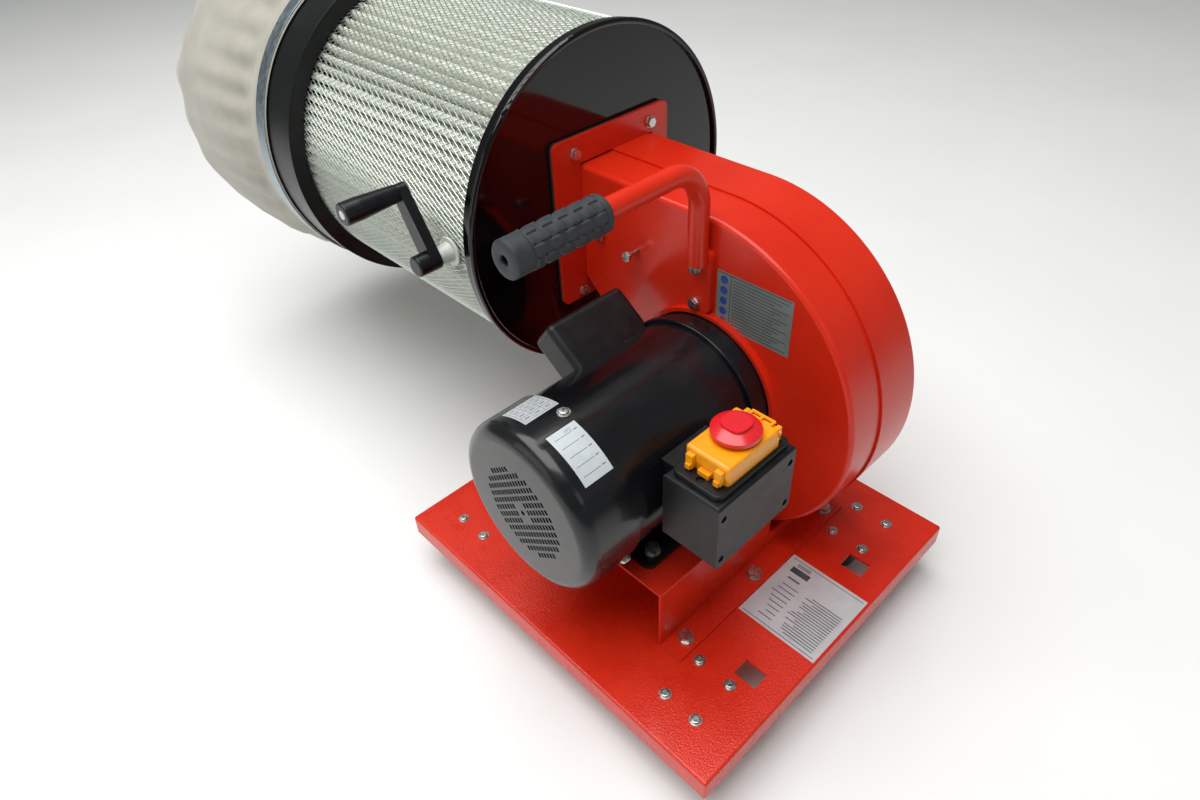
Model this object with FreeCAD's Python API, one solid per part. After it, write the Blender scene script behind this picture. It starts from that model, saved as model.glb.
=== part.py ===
import FreeCAD, Part
import math
import os

# Dust collector: a direct-driven blower on a castor plate, blowing into a
# cartridge filter that lies level behind it and empties into a bag.
# Working frame, mm: x along the motor shaft from the fan end to the hose inlet,
# y along the filter from the blower to the bag, z up. x = y = 0 is a corner of
# the base plate and z = 0 is its top face. The finished parts are moved so that
# the origin is the middle of the whole machine's footprint, on the floor.

Vec = FreeCAD.Vector
X_AXIS = Vec(1, 0, 0)
Y_AXIS = Vec(0, 1, 0)
Z_AXIS = Vec(0, 0, 1)

# ---- driving dimensions ------------------------------------------------------

# base plate, a folded tray
plate_x = 410.0
plate_y = 450.0
plate_sheet = 3.0
plate_skirt = 25.0
plate_bend_r = 3.0
slot_x = 20.0
slot_y = 25.0
slot_edge = 27.0
slot_castor_gap = 4.5

# swivel castors
castor_wheel_w = 20.0
castor_height = 68.0
castor_headroom = 18.0
castor_trail = 20.0
castor_edge = 65.0
castor_hole_x = 50.0
castor_hole_y = 38.0
castor_plate_x = 68.0
castor_plate_y = 56.0
castor_sheet = 2.5
castor_axle_r = 4.0
screw_r = 2.5
running = 0.05
castor_side_gap = 1.0

# motor bracket, a folded top hat
bracket_inset = 13.0
bracket_edge = 53.0
bracket_span = 206.0
bracket_foot = 29.0
bracket_low_wall = 20.0
bracket_sheet = 3.0
bracket_bolt_ends = (24.0, 41.0, 19.0)
bolt_r = 4.0

# motor foot, a plate with two cradles
foot_drop = 10.0
foot_t = 4.0
foot_x_inset = 26.0
foot_x_over = 7.0
foot_half_y = 76.0
foot_corner = 10.0
foot_bolt_x = 19.0
foot_bolt_y = 62.0
cradle_t = 8.0
cradle_inset = 12.0
cradle_half_y = 50.0
cradle_top = 40.0

# motor
motor_body_r = 84.0
motor_wall = 8.0
motor_x0 = 62.0
motor_length = 163.0
front_bell_length = 33.0
front_bell_lip = 4.5
front_bell_rim = 7.0
rear_bell_x = 12.0
cover_gap = 4.0
cover_sheet = 1.5
cover_x0 = 4.5
cover_round = 15.0
cover_lap = 3.0
vent_edge = 40.0
vent_along = 3.4
vent_across = 5.0
vent_bridge = 2.1
vent_row_gap = 2.5
vent_turn_deg = 38.0
vent_middle_gap = 14.0
vent_centre_r = 2.5
cover_screw_inset = 3.0
cover_screw_depth = 7.0
stator_x = 90.0
stator_bore_r = 46.0
air_gap = 0.5
shaft_r = 12.0
journal_r = 10.0
bearing_r = 23.5
bearing_w = 14.0
cooling_fan_room = 16.0
cooling_fan_w = 22.0
cooling_fan_vanes = 9

# blower
volute_depth = 108.0
volute_seam = 51.0
volute_sheet = 2.0
volute_lap = 4.0
volute_lap_gap = 0.2
volute_edge_r = 5.0
scroll_r = 173.0
scroll_lift = 3.0
scroll_growth = 17.0
tongue_inset = 46.0
tongue_dz = 5.0
neck_h = 134.0
neck_reach = 10.0
collar_lip = 5.5
collar_h = 8.0
collar_wall = 4.0
brace_y = (84.0, 32.0)
brace_z = (64.0, 63.0)
brace_spacer = (14.0, 3.0)
eye_r = 60.0
impeller_room = 58.0
impeller_depth = 60.0
impeller_blades = 8
impeller_sheet = 3.0
impeller_gap = 10.0
hub_r = 22.0

# outlet flange and the joint with the filter drum
flange_w = 168.0
flange_h = 188.0
flange_t = 4.0
flange_corner = 8.0
flange_offset_x = -6.0
flange_offset_z = 4.0
flange_bolt_x = 111.0
flange_bolt_z = 163.0
flange_bolt_drop = 4.0
flange_bolt_clear = 8.0
gasket_t = 3.0
small_bolt_r = 3.0

# hose inlet
inlet_r = 50.0
inlet_length = 60.0
inlet_sheet = 2.0
inlet_flange_r = 72.0
inlet_screw_r = 62.0
inlet_guard_t = 3.0

# filter drum
drum_offset_x = -14.0
drum_offset_z = 10.0
drum_r = 184.0
drum_rim = 10.0
drum_sheet = 2.0
drum_bead_r = 3.4
drum_bead_out = 1.2
mesh_inset = 2.0
mesh_t = 1.0
mesh_length = 336.0
pleat_inset = 2.0
pleat_depth = 26.0
pleat_count = 90
pleat_gap = 0.6
end_ring_flare = 17.0
end_ring_w = 50.0
end_ring_wall = 2.0
band_w = 20.0
band_t = 1.5
bag_length = 300.0
bag_flare = 14.0
bag_wall = 2.0
latch_stand = 5.0
latch_pin_r = 2.0
latch_length = 52.0

# filter cleaning crank
crank_setback = 37.0
bushing_r = 11.0
bushing_flange = 4.5
bushing_flange_t = 3.0
bushing_wall = 4.3
bushing_taper = 2.0
bushing_out = 18.0
crank_shaft_r = 5.0
crank_arm_length = 72.0
crank_arm_t = 11.0
crank_arm_w = 22.0
crank_boss = 15.0
crank_lean_deg = 29.0
crank_grip_length = 60.0
crank_grip_r = 11.5
crank_grip_waist = 2.5
crank_grip_cone = 0.7
crank_pin_r = 3.0
crank_screw_r = 5.0
crank_screw_h = 2.0
crank_screw_sink = 1.5
crank_edge_r = 2.0
grip_gap = 0.3
bevel_r = 18.0
bevel_w = 9.0
bevel_gap = 0.3
bevel_teeth = 12
agitator_r = 6.0
flap_gap = 6.0
flap_t = 3.0

# carrying handle
handle_r = 10.0
handle_wall = 2.0
handle_offset_y = 11.0
handle_rise = 54.0
handle_bend_r = 40.0
handle_foot_gap = 0.8
handle_flat_h = 64.0
handle_flat_t = 7.0
handle_flat_w = 28.0
handle_neck = 10.0
handle_bolt_z = (6.5, 46.5)
handle_bolt_dy = 4.0
grip_r = 16.5
grip_reach = 230.0
grip_length = 100.0
grip_end_t = 4.0
grip_hole_r = 4.5

# capacitor box on the motor
cap_angle_deg = 36.0
cap_over = 3.0
cap_length = 101.0
cap_width = 40.0
cap_reach = 50.0
cap_wall = 2.0
cap_round = 7.0
cap_cell_r = 16.0

# switch box
switch_inset = 24.0
switch_length = 104.0
switch_gap = 10.0
switch_width = 61.0
switch_drop = 19.0
switch_height = 74.0
switch_wall = 2.5
panel_t = 6.0
panel_inset = 5.0
switch_unit_x = 70.0
switch_unit_y = 45.0
switch_unit_inset = 20.0
switch_frame_h = 8.0
lid_h = 13.0
lid_wall = 2.0
lid_gap = 0.5
hinge_pin_r = 1.5
button_size = 18.0
button_gap = 0.5
button_out = 3.0
button_travel = 3.0
mushroom_r = 22.0
mushroom_h = 11.0
mushroom_stem_r = 8.0
mushroom_stem_h = 5.0

# ---- derived places ----------------------------------------------------------

plate_cx = plate_x / 2
plate_cy = plate_y / 2
slot_pitch = plate_x - 2 * (castor_edge + castor_plate_x / 2 + slot_x / 2 + slot_castor_gap)
castor_wheel_d = castor_height - castor_headroom
floor_z = -plate_sheet - castor_height
motor_y = plate_cy
motor_z = scroll_r + scroll_lift
motor_x1 = motor_x0 + motor_length
front_bell_r = motor_body_r + front_bell_lip
cover_r = motor_body_r + cover_gap
vent_circle_r = cover_r - vent_edge
cooling_fan_r = motor_body_r - cooling_fan_room
volute_x0 = motor_x1 + front_bell_length
volute_x1 = volute_x0 + volute_depth
volute_cx = volute_x0 + volute_depth / 2
bracket_y0 = plate_cy - bracket_span / 2
bracket_y1 = plate_cy + bracket_span / 2
bracket_x0 = motor_x0 + bracket_inset
bracket_x1 = volute_x0 - collar_h
bracket_far_x = plate_x - bracket_edge
bracket_height = motor_z - motor_body_r - foot_drop
foot_top_z = bracket_height + foot_t
foot_x0 = motor_x0 + foot_x_inset
foot_x1 = motor_x1 + foot_x_over
scroll_top_r = scroll_r + scroll_growth
tongue_dy = scroll_r - tongue_inset
collar_r = motor_body_r + collar_lip
top_arc_y = motor_y + scroll_top_r - scroll_r
volute_top_z = motor_z + scroll_top_r
neck_low_z = volute_top_z - neck_h
flange_y = motor_y + scroll_r + neck_reach
tongue_y = motor_y + tongue_dy
tongue_z = motor_z + tongue_dz
scroll_low_z = motor_z - scroll_r
toe_z = (tongue_dy ** 2 + tongue_z ** 2 - scroll_low_z ** 2) / (2 * (tongue_z - scroll_low_z))
toe_r = toe_z - scroll_low_z
neck_cz = (volute_top_z + neck_low_z) / 2
lap_out = volute_lap_gap + volute_sheet
flange_cx = volute_cx + flange_offset_x
flange_cz = neck_cz + flange_offset_z
drum_x = volute_cx + drum_offset_x
drum_z = neck_cz + drum_offset_z
drum_y0 = flange_y + gasket_t
mesh_r = drum_r - mesh_inset
pleat_outer_r = mesh_r - pleat_inset
end_ring_r = drum_r + end_ring_flare
flap_r = pleat_outer_r - pleat_depth - flap_gap
mesh_y0 = drum_y0 + drum_sheet
mesh_y1 = mesh_y0 + mesh_length
crank_y = mesh_y0 + crank_setback
impeller_r = scroll_r - impeller_room
cover_x1 = motor_x0 - 1.0
front_bell_x1 = volute_x0
stator_x0 = (motor_x0 + motor_x1 - stator_x) / 2
rear_bearing_x0 = motor_x0 - bearing_w + 1.0
front_bearing_x0 = front_bell_x1 - bearing_w - 4.0
impeller_x0 = volute_x0 + volute_sheet + impeller_gap
impeller_x1 = impeller_x0 + impeller_sheet + impeller_depth
shaft_x1 = impeller_x1 - 8.0
handle_y = motor_y + handle_offset_y
handle_top_z = volute_top_z + handle_rise
handle_foot_z = motor_z + collar_r + handle_foot_gap
handle_flat_z = handle_foot_z + handle_flat_h
grip_x0 = volute_x0 - grip_reach
cap_x0 = motor_x1 + cap_over - cap_length
switch_x0 = motor_x0 + switch_inset
switch_y0 = motor_y - motor_body_r - switch_gap - switch_width
switch_z0 = motor_z - switch_drop
switch_unit_x0 = switch_x0 + switch_unit_inset
panel_z0 = switch_z0 + switch_height
panel_z1 = panel_z0 + panel_t
frame_z1 = panel_z1 + switch_frame_h
lid_z1 = frame_z1 + lid_h
switch_cy = switch_y0 + switch_width / 2
switch_unit_x1 = switch_unit_x0 + switch_unit_x
crank_x = drum_x - mesh_r

parts = {}


def add(name, *solids):
    """Keep a node: one solid, or several loose ones as a compound."""
    flat = []
    for shape in solids:
        flat.extend(shape.Solids)
    parts[name] = flat[0] if len(flat) == 1 else Part.makeCompound(flat)


# ---- small shape helpers -----------------------------------------------------

def block(x0, x1, y0, y1, z0, z1):
    return Part.makeBox(x1 - x0, y1 - y0, z1 - z0, Vec(x0, y0, z0))


def rod(start, axis, length, radius):
    return Part.makeCylinder(radius, length, Vec(*start), axis)


def ring(start, axis, length, outer, inner):
    return rod(start, axis, length, outer).cut(rod(start, axis, length, inner))


def fuse(shapes):
    shapes = list(shapes)
    whole = shapes[0]
    for shape in shapes[1:]:
        whole = whole.fuse(shape)
    return whole.removeSplitter()


def cut(shape, tools):
    for tool in tools:
        shape = shape.cut(tool)
    return shape


def edges_along(shape, axis):
    """Straight edges of a shape that run along an axis."""
    found = []
    for edge in shape.Edges:
        if isinstance(edge.Curve, Part.Line):
            direction = edge.Curve.Direction
            if abs(abs(direction.dot(axis)) - 1.0) < 1e-6:
                found.append(edge)
    return found


def round_block(x0, x1, y0, y1, z0, z1, radius, axis=Z_AXIS):
    shape = block(x0, x1, y0, y1, z0, z1)
    return shape.makeFillet(radius, edges_along(shape, axis))


def extrude_wire(points, vector):
    wire = Part.makePolygon([Vec(*p) for p in points] + [Vec(*points[0])])
    return Part.Face(wire).extrude(vector)


def hex_prism(centre, axis, across_flats, height):
    """A hexagonal prism standing on centre and growing along the axis."""
    corner = across_flats / math.sqrt(3)
    points = [Vec(corner * math.cos(math.radians(60 * i)), corner * math.sin(math.radians(60 * i)), 0)
              for i in range(6)]
    shape = Part.Face(Part.makePolygon(points + [points[0]])).extrude(Vec(0, 0, height))
    shape.Placement = FreeCAD.Placement(Vec(*centre), FreeCAD.Rotation(Z_AXIS, axis))
    return shape


def hex_bolt(seat, axis, radius, shank, washer=True):
    """A hex bolt whose head stands on the seat, outward along the axis."""
    head_flats = radius * 3.3
    head_h = radius * 1.3
    washer_t = 1.2 if washer else 0.0
    seat = Vec(*seat)
    head = hex_prism(tuple(seat + axis * washer_t), axis, head_flats, head_h)
    shapes = [head, rod(tuple(seat - axis * shank), axis, shank + washer_t, radius)]
    if washer:
        shapes.append(rod(tuple(seat), axis, washer_t, radius * 2.1))
    return fuse(shapes)


def pan_screw(seat, axis, radius, shank):
    """A cross-head pan screw on a washer, its head outward along the axis."""
    seat = Vec(*seat)
    washer = rod(tuple(seat), axis, 1.0, radius * 2.5)
    head = rod(tuple(seat + axis * 1.0), axis, radius, radius * 1.9)
    rims = [e for e in head.Edges if isinstance(e.Curve, Part.Circle)
            and abs(axis.dot(e.Curve.Center - seat)) > 1.0 + radius / 2]
    head = head.makeFillet(radius * 0.55, rims)
    shape = fuse([washer, head, rod(tuple(seat - axis * shank), axis, shank + 1.0, radius)])
    blades = []
    for turn in (45, 135):
        blade = Part.makeBox(radius * 1.8, radius * 0.35, radius * 0.8)
        blade.translate(Vec(-radius * 0.9, -radius * 0.175, 1.0 + radius * 0.45))
        blade.rotate(Vec(0, 0, 0), Z_AXIS, turn)
        blade.Placement = FreeCAD.Placement(seat, FreeCAD.Rotation(Z_AXIS, axis)).multiply(blade.Placement)
        blades.append(blade)
    return cut(shape, blades)


def around(x, radius, angle_deg, cy=None, cz=None):
    """A point at an angle about the motor axis, 0 towards +y, 90 upwards."""
    cy = motor_y if cy is None else cy
    cz = motor_z if cz is None else cz
    a = math.radians(angle_deg)
    return (x, cy + radius * math.cos(a), cz + radius * math.sin(a))


def radial(angle_deg):
    a = math.radians(angle_deg)
    return Vec(0, math.cos(a), math.sin(a))


# ---- base plate and castors --------------------------------------------------

def castor_centres():
    """Swivel centres by corner name: rear is the filter side, right the inlet side."""
    return {
        "front_left": (castor_edge, castor_edge),
        "front_right": (plate_x - castor_edge, castor_edge),
        "rear_left": (castor_edge, plate_y - castor_edge),
        "rear_right": (plate_x - castor_edge, plate_y - castor_edge),
    }


def castor_holes():
    return [(cx + sx * castor_hole_x / 2, cy + sy * castor_hole_y / 2)
            for cx, cy in castor_centres().values() for sx in (-1, 1) for sy in (-1, 1)]


def bracket_holes():
    """Bolt centres of the motor bracket's two feet."""
    foot_middle = bracket_foot / 2 + bracket_sheet / 2
    rear, middle, far = bracket_bolt_ends
    return [(x, y) for x in (bracket_x0 + rear, bracket_x1 - middle, bracket_far_x - far)
            for y in (bracket_y0 - foot_middle + bracket_sheet, bracket_y1 + foot_middle - bracket_sheet)]


def make_base_plate():
    tray = block(0, plate_x, 0, plate_y, -plate_skirt, 0)
    bends = [e for e in tray.Edges if abs(e.BoundBox.ZMin) < 1e-6 and abs(e.BoundBox.ZMax) < 1e-6]
    tray = tray.makeFillet(plate_bend_r, bends + edges_along(tray, Z_AXIS))
    hollow = block(plate_sheet, plate_x - plate_sheet, plate_sheet, plate_y - plate_sheet,
                   -plate_skirt, -plate_sheet)
    tools = [hollow]
    for x, y in castor_holes():
        tools.append(rod((x, y, -plate_skirt), Z_AXIS, plate_skirt + 1, screw_r))
    for x, y in bracket_holes():
        tools.append(rod((x, y, -plate_skirt), Z_AXIS, plate_skirt + 1, bolt_r))
    for side in (-1, 1):
        middle = plate_cx + side * slot_pitch / 2
        tools.append(block(middle - slot_x / 2, middle + slot_x / 2, slot_edge, slot_edge + slot_y,
                           -plate_skirt, 1))
    add("base_plate", cut(tray, tools))


def make_castor(name, cx, cy):
    """One castor: a fork that swivels under its plate, and its wheel on an axle."""
    top = -plate_sheet - castor_sheet
    race_h = 8.0
    crown_top = top - race_h - running
    crown_t = castor_sheet
    axle_z = floor_z + castor_wheel_d / 2
    axle_y = cy + castor_trail
    inner = castor_wheel_w / 2 + castor_side_gap
    outer = inner + castor_sheet
    king_pin = rod((cx, cy, crown_top - crown_t), Z_AXIS, race_h + crown_t + running - 1.0, castor_axle_r)
    crown = rod((cx, cy, crown_top - crown_t), Z_AXIS, crown_t, 22.0)
    bridge = block(cx - outer, cx + outer, cy - 8, axle_y + 12, crown_top - crown_t, crown_top)
    legs = []
    for side in (-1, 1):
        x0 = min(side * inner, side * outer) + cx
        leg = extrude_wire([(x0, cy - 8, crown_top - crown_t), (x0, axle_y + 12, crown_top - crown_t),
                            (x0, axle_y + 9, axle_z - 7), (x0, axle_y - 7, axle_z - 8)],
                           Vec(castor_sheet, 0, 0))
        legs.append(leg)
    fork = fuse([crown, bridge, king_pin] + legs)
    axle_hole = rod((cx - outer - 1, axle_y, axle_z), X_AXIS, 2 * outer + 2, castor_axle_r)
    wheel_room = rod((cx - inner, axle_y, axle_z), X_AXIS, 2 * inner, castor_wheel_d / 2 + 1.5)
    fork = cut(fork, [axle_hole, wheel_room])
    axle = fuse([rod((cx - outer, axle_y, axle_z), X_AXIS, 2 * outer, castor_axle_r),
                 hex_prism((cx + outer, axle_y, axle_z), X_AXIS, 11, 4),
                 hex_prism((cx - outer, axle_y, axle_z), Vec(-1, 0, 0), 11, 5)])
    add("castor_fork_" + name, fork, axle)
    half = castor_wheel_w / 2
    tread = rod((cx - half, axle_y, axle_z), X_AXIS, castor_wheel_w, castor_wheel_d / 2)
    tread = tread.makeFillet(3.0, [e for e in tread.Edges if isinstance(e.Curve, Part.Circle)])
    dish_r = castor_wheel_d / 2 - 8.5
    dish = [ring((cx + s * half - (2.5 if s > 0 else 0), axle_y, axle_z), X_AXIS, 2.5, dish_r, 9.0)
            for s in (-1, 1)]
    bore = rod((cx - half - 1, axle_y, axle_z), X_AXIS, castor_wheel_w + 2, castor_axle_r + running)
    add("castor_wheel_" + name, cut(tread, dish + [bore]))


def make_castors():
    plates = []
    top = -plate_sheet
    for name, (cx, cy) in castor_centres().items():
        plate = round_block(cx - castor_plate_x / 2, cx + castor_plate_x / 2, cy - castor_plate_y / 2,
                            cy + castor_plate_y / 2, top - castor_sheet, top, 6)
        race = rod((cx, cy, top - castor_sheet - 8.0), Z_AXIS, 8.0, 19.0)
        plate = fuse([plate, race])
        pin_room = rod((cx, cy, top - castor_sheet - 9.0), Z_AXIS, 9.0 + castor_sheet,
                       castor_axle_r + running)
        holes = [rod((cx + sx * castor_hole_x / 2, cy + sy * castor_hole_y / 2, top - castor_sheet - 1),
                     Z_AXIS, castor_sheet + 2, screw_r) for sx in (-1, 1) for sy in (-1, 1)]
        plates.append(cut(plate, holes + [pin_room]))
        make_castor(name, cx, cy)
    add("castor_plates", *plates)
    under = -plate_sheet - castor_sheet
    screws = []
    for x, y in castor_holes():
        screws.append(pan_screw((x, y, 0), Z_AXIS, screw_r, plate_sheet + castor_sheet + 5.0))
        nut = hex_prism((x, y, under - 4.0), Z_AXIS, 8.0, 4.0)
        screws.append(nut.cut(rod((x, y, under - 5.0), Z_AXIS, 6.0, screw_r)))
    add("castor_screws", *screws)


# ---- motor bracket and motor -------------------------------------------------

def make_motor_bracket():
    x1 = bracket_x1
    far = bracket_far_x
    sheet = bracket_sheet
    pieces = [block(bracket_x0, x1, bracket_y0, bracket_y1, bracket_height - sheet, bracket_height)]
    for wall_y, foot_y in ((bracket_y0, bracket_y0 - bracket_foot + sheet),
                           (bracket_y1 - sheet, bracket_y1 - sheet)):
        pieces.append(block(bracket_x0, x1, wall_y, wall_y + sheet, 0, bracket_height))
        pieces.append(block(x1, far, wall_y, wall_y + sheet, 0, bracket_low_wall))
        pieces.append(block(bracket_x0, far, foot_y, foot_y + bracket_foot, 0, sheet))
    shape = fuse(pieces)
    outer_bends = [e for e in edges_along(shape, X_AXIS)
                   if abs(e.BoundBox.ZMin - bracket_height) < 1e-6]
    shape = shape.makeFillet(2.0, outer_bends)
    holes = [rod((x, y, -1), Z_AXIS, sheet + 2, bolt_r) for x, y in bracket_holes()]
    holes += [rod((x, y, bracket_height - sheet - 1), Z_AXIS, sheet + 2, bolt_r) for x, y in foot_bolts()]
    add("motor_bracket", cut(shape, holes))


def foot_bolts():
    return [(x, motor_y + s * foot_bolt_y) for x in (foot_x0 + foot_bolt_x, foot_x1 - foot_bolt_x)
            for s in (-1, 1)]


def make_frame_bolts():
    """Hex bolts that hold the bracket to the plate and the motor to the bracket."""
    bolts = []
    reach = bracket_sheet + plate_sheet
    for x, y in bracket_holes():
        bolts.append(hex_bolt((x, y, bracket_sheet), Z_AXIS, bolt_r, reach + 8))
        nut = hex_prism((x, y, -plate_sheet - 6.5), Z_AXIS, 13, 6.5)
        bolts.append(nut.cut(rod((x, y, -plate_sheet - 8), Z_AXIS, 9, bolt_r)))
    for x, y in foot_bolts():
        bolts.append(hex_bolt((x, y, foot_top_z), Z_AXIS, bolt_r, bracket_sheet + foot_t + 8))
        nut = hex_prism((x, y, bracket_height - bracket_sheet - 6.5), Z_AXIS, 13, 6.5)
        bolts.append(nut.cut(rod((x, y, bracket_height - bracket_sheet - 8), Z_AXIS, 9, bolt_r)))
    add("frame_bolts", *bolts)


def make_motor_foot():
    plate = round_block(foot_x0, foot_x1, motor_y - foot_half_y, motor_y + foot_half_y, bracket_height,
                        foot_top_z, foot_corner)
    cradles = [block(x, x + cradle_t, motor_y - cradle_half_y, motor_y + cradle_half_y, foot_top_z,
                     motor_z - cradle_top)
               for x in (foot_x0 + cradle_inset, foot_x1 - cradle_inset - cradle_t)]
    barrel = rod((motor_x0, motor_y, motor_z), X_AXIS, motor_length, motor_body_r)
    rim = rod((motor_x1, motor_y, motor_z), X_AXIS, front_bell_length, front_bell_r)
    holes = [rod((x, y, bracket_height - 1), Z_AXIS, foot_t + 2, bolt_r) for x, y in foot_bolts()]
    add("motor_foot", cut(fuse([plate] + cradles), [barrel, rim] + holes))


def make_motor_shell():
    axis = (motor_x0, motor_y, motor_z)
    body = ring(axis, X_AXIS, motor_x1 - motor_x0, motor_body_r, motor_body_r - motor_wall)
    add("motor_body", body)

    # rear end bell with its bearing seat, inside the fan cover
    bell_x0 = motor_x0 - rear_bell_x
    disc = rod((bell_x0, motor_y, motor_z), X_AXIS, rear_bell_x, motor_body_r)
    spigot = ring((motor_x0, motor_y, motor_z), X_AXIS, 6, motor_body_r - motor_wall,
                  motor_body_r - motor_wall - 6)
    boss = rod((bell_x0, motor_y, motor_z), X_AXIS, bearing_w + 3, bearing_r + 6)
    bell = fuse([disc, spigot, boss])
    seat = rod((rear_bearing_x0, motor_y, motor_z), X_AXIS, 40, bearing_r)
    shaft_hole = rod((bell_x0 - 1, motor_y, motor_z), X_AXIS, 60, journal_r + 2)
    add("rear_end_bell", cut(bell, [seat, shaft_hole]))

    # front end bell, which carries the blower
    rim = rod((motor_x1, motor_y, motor_z), X_AXIS, front_bell_rim, front_bell_r)
    drum = rod((motor_x1, motor_y, motor_z), X_AXIS, front_bell_x1 - motor_x1, motor_body_r)
    bell = fuse([rim, drum])
    hollow = rod((motor_x1 - 1, motor_y, motor_z), X_AXIS, front_bell_x1 - motor_x1 - 10,
                 motor_body_r - motor_wall)
    boss = rod((front_bearing_x0 - 2, motor_y, motor_z), X_AXIS, bearing_w + 6, bearing_r + 6)
    bell = fuse([bell.cut(hollow), boss])
    seat = rod((front_bearing_x0 - 10, motor_y, motor_z), X_AXIS, bearing_w + 10, bearing_r)
    shaft_hole = rod((front_bearing_x0, motor_y, motor_z), X_AXIS, 60, journal_r + 2)
    add("front_end_bell", cut(bell, [seat, shaft_hole]))


def make_fan_cover():
    """Pressed cap over the cooling fan, with rows of slots in a round field."""
    length = cover_x1 - cover_x0 + cover_lap
    outer = rod((cover_x0, motor_y, motor_z), X_AXIS, length, cover_r)
    face_edge = [e for e in outer.Edges if isinstance(e.Curve, Part.Circle)
                 and abs(e.BoundBox.XMin - cover_x0) < 1e-6 and abs(e.BoundBox.XMax - cover_x0) < 1e-6]
    outer = outer.makeFillet(cover_round, face_edge)
    inner = rod((cover_x0 + cover_sheet, motor_y, motor_z), X_AXIS, length, cover_r - cover_sheet)
    face_edge = [e for e in inner.Edges if isinstance(e.Curve, Part.Circle)
                 and abs(e.BoundBox.XMin - cover_x0 - cover_sheet) < 1e-6
                 and abs(e.BoundBox.XMax - cover_x0 - cover_sheet) < 1e-6]
    inner = inner.makeFillet(cover_round - cover_sheet, face_edge)
    cap = outer.cut(inner)
    cap = cap.fuse(ring((cover_x1 - 6, motor_y, motor_z), X_AXIS, 6, cover_r - cover_sheet, motor_body_r))
    cap = cut(cap, [vent_field()])
    screws = []
    for angle in cover_screw_angles():
        cap = cap.cut(cover_screw_hole(angle))
        screws.append(pan_screw(around(cover_x1 - cover_screw_inset, cover_r, angle), radial(angle), screw_r,
                                cover_screw_depth))
    for angle in inlet_screw_angles():
        screws.append(pan_screw(around(volute_x1 + inlet_sheet, inlet_screw_r, angle), X_AXIS, screw_r,
                                inlet_sheet + volute_sheet + 4))
    add("fan_cover", cap.removeSplitter())
    add("cover_screws", *screws)
    bell = parts["rear_end_bell"]
    for angle in cover_screw_angles():
        bell = bell.cut(cover_screw_hole(angle))
    add("rear_end_bell", bell)


def cover_screw_hole(angle):
    foot = around(cover_x1 - cover_screw_inset, motor_body_r - motor_wall, angle)
    return rod(foot, radial(angle), 2 * motor_wall, screw_r)


def vent_field():
    """Rows of small slots that fill a circle, with a plain patch at the middle."""
    slots = [rod((cover_x0 - 1, 0, 0), X_AXIS, cover_sheet + 2, vent_centre_r)]
    pitch = vent_across + vent_row_gap
    step = vent_along + vent_bridge
    rows = 2 * int(vent_circle_r / pitch) + 1
    for row in range(rows):
        z = (row - (rows - 1) / 2) * pitch
        reach = math.sqrt(max(vent_circle_r ** 2 - z ** 2, 0))
        count = int((2 * reach + vent_bridge) / step)
        for i in range(count):
            y = (i - (count - 1) / 2) * step
            if abs(y) > vent_middle_gap / 2 or abs(z) > pitch:
                slots.append(block(cover_x0 - 1, cover_x0 + cover_sheet + 1, y - vent_along / 2,
                                   y + vent_along / 2, z - vent_across / 2, z + vent_across / 2))
    field = Part.makeCompound(slots)
    turn = FreeCAD.Rotation(X_AXIS, -vent_turn_deg)
    field.Placement = FreeCAD.Placement(Vec(0, motor_y, motor_z), turn)
    return field


def cover_screw_angles():
    return [93.0 + 120.0 * i for i in range(3)]


def make_motor_inside():
    x1 = stator_x0 + stator_x
    inner = motor_body_r - motor_wall
    add("stator_core", ring((stator_x0, motor_y, motor_z), X_AXIS, stator_x, inner, stator_bore_r))
    turns = []
    for x in (stator_x0 - 18, x1):
        coil = ring((x, motor_y, motor_z), X_AXIS, 18, inner - 6, stator_bore_r + 3)
        coil = coil.makeFillet(4, [e for e in coil.Edges if isinstance(e.Curve, Part.Circle)])
        turns.append(coil)
    add("stator_windings", *turns)
    core = ring((stator_x0, motor_y, motor_z), X_AXIS, stator_x, stator_bore_r - air_gap, shaft_r)
    core_shaft = rod((rear_bearing_x0 + bearing_w, motor_y, motor_z), X_AXIS,
                     front_bearing_x0 - rear_bearing_x0 - bearing_w, shaft_r)
    journal = rod((cover_x0 + 12, motor_y, motor_z), X_AXIS, shaft_x1 - cover_x0 - 12, journal_r - running)
    add("motor_rotor", core, fuse([core_shaft, journal]))
    add("motor_bearings",
        ring((rear_bearing_x0, motor_y, motor_z), X_AXIS, bearing_w - 0.5, bearing_r, journal_r),
        ring((front_bearing_x0 + 0.5, motor_y, motor_z), X_AXIS, bearing_w - 0.5, bearing_r, journal_r))
    # cooling fan behind the slotted face
    fan_x0 = cover_x0 + 14
    hub = rod((fan_x0, motor_y, motor_z), X_AXIS, cooling_fan_w, 17)
    disc = rod((fan_x0 + cooling_fan_w - 2.5, motor_y, motor_z), X_AXIS, 2.5, cooling_fan_r)
    vanes = []
    for i in range(cooling_fan_vanes):
        vane = block(fan_x0, fan_x0 + cooling_fan_w, motor_y + 14, motor_y + cooling_fan_r,
                     motor_z - 1.25, motor_z + 1.25)
        vane.rotate(Vec(0, motor_y, motor_z), X_AXIS, 360 * i / cooling_fan_vanes)
        vanes.append(vane)
    fan = fuse([hub, disc] + vanes)
    add("cooling_fan", fan.cut(rod((0, motor_y, motor_z), X_AXIS, 100, journal_r - running)))


# ---- blower ------------------------------------------------------------------

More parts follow.
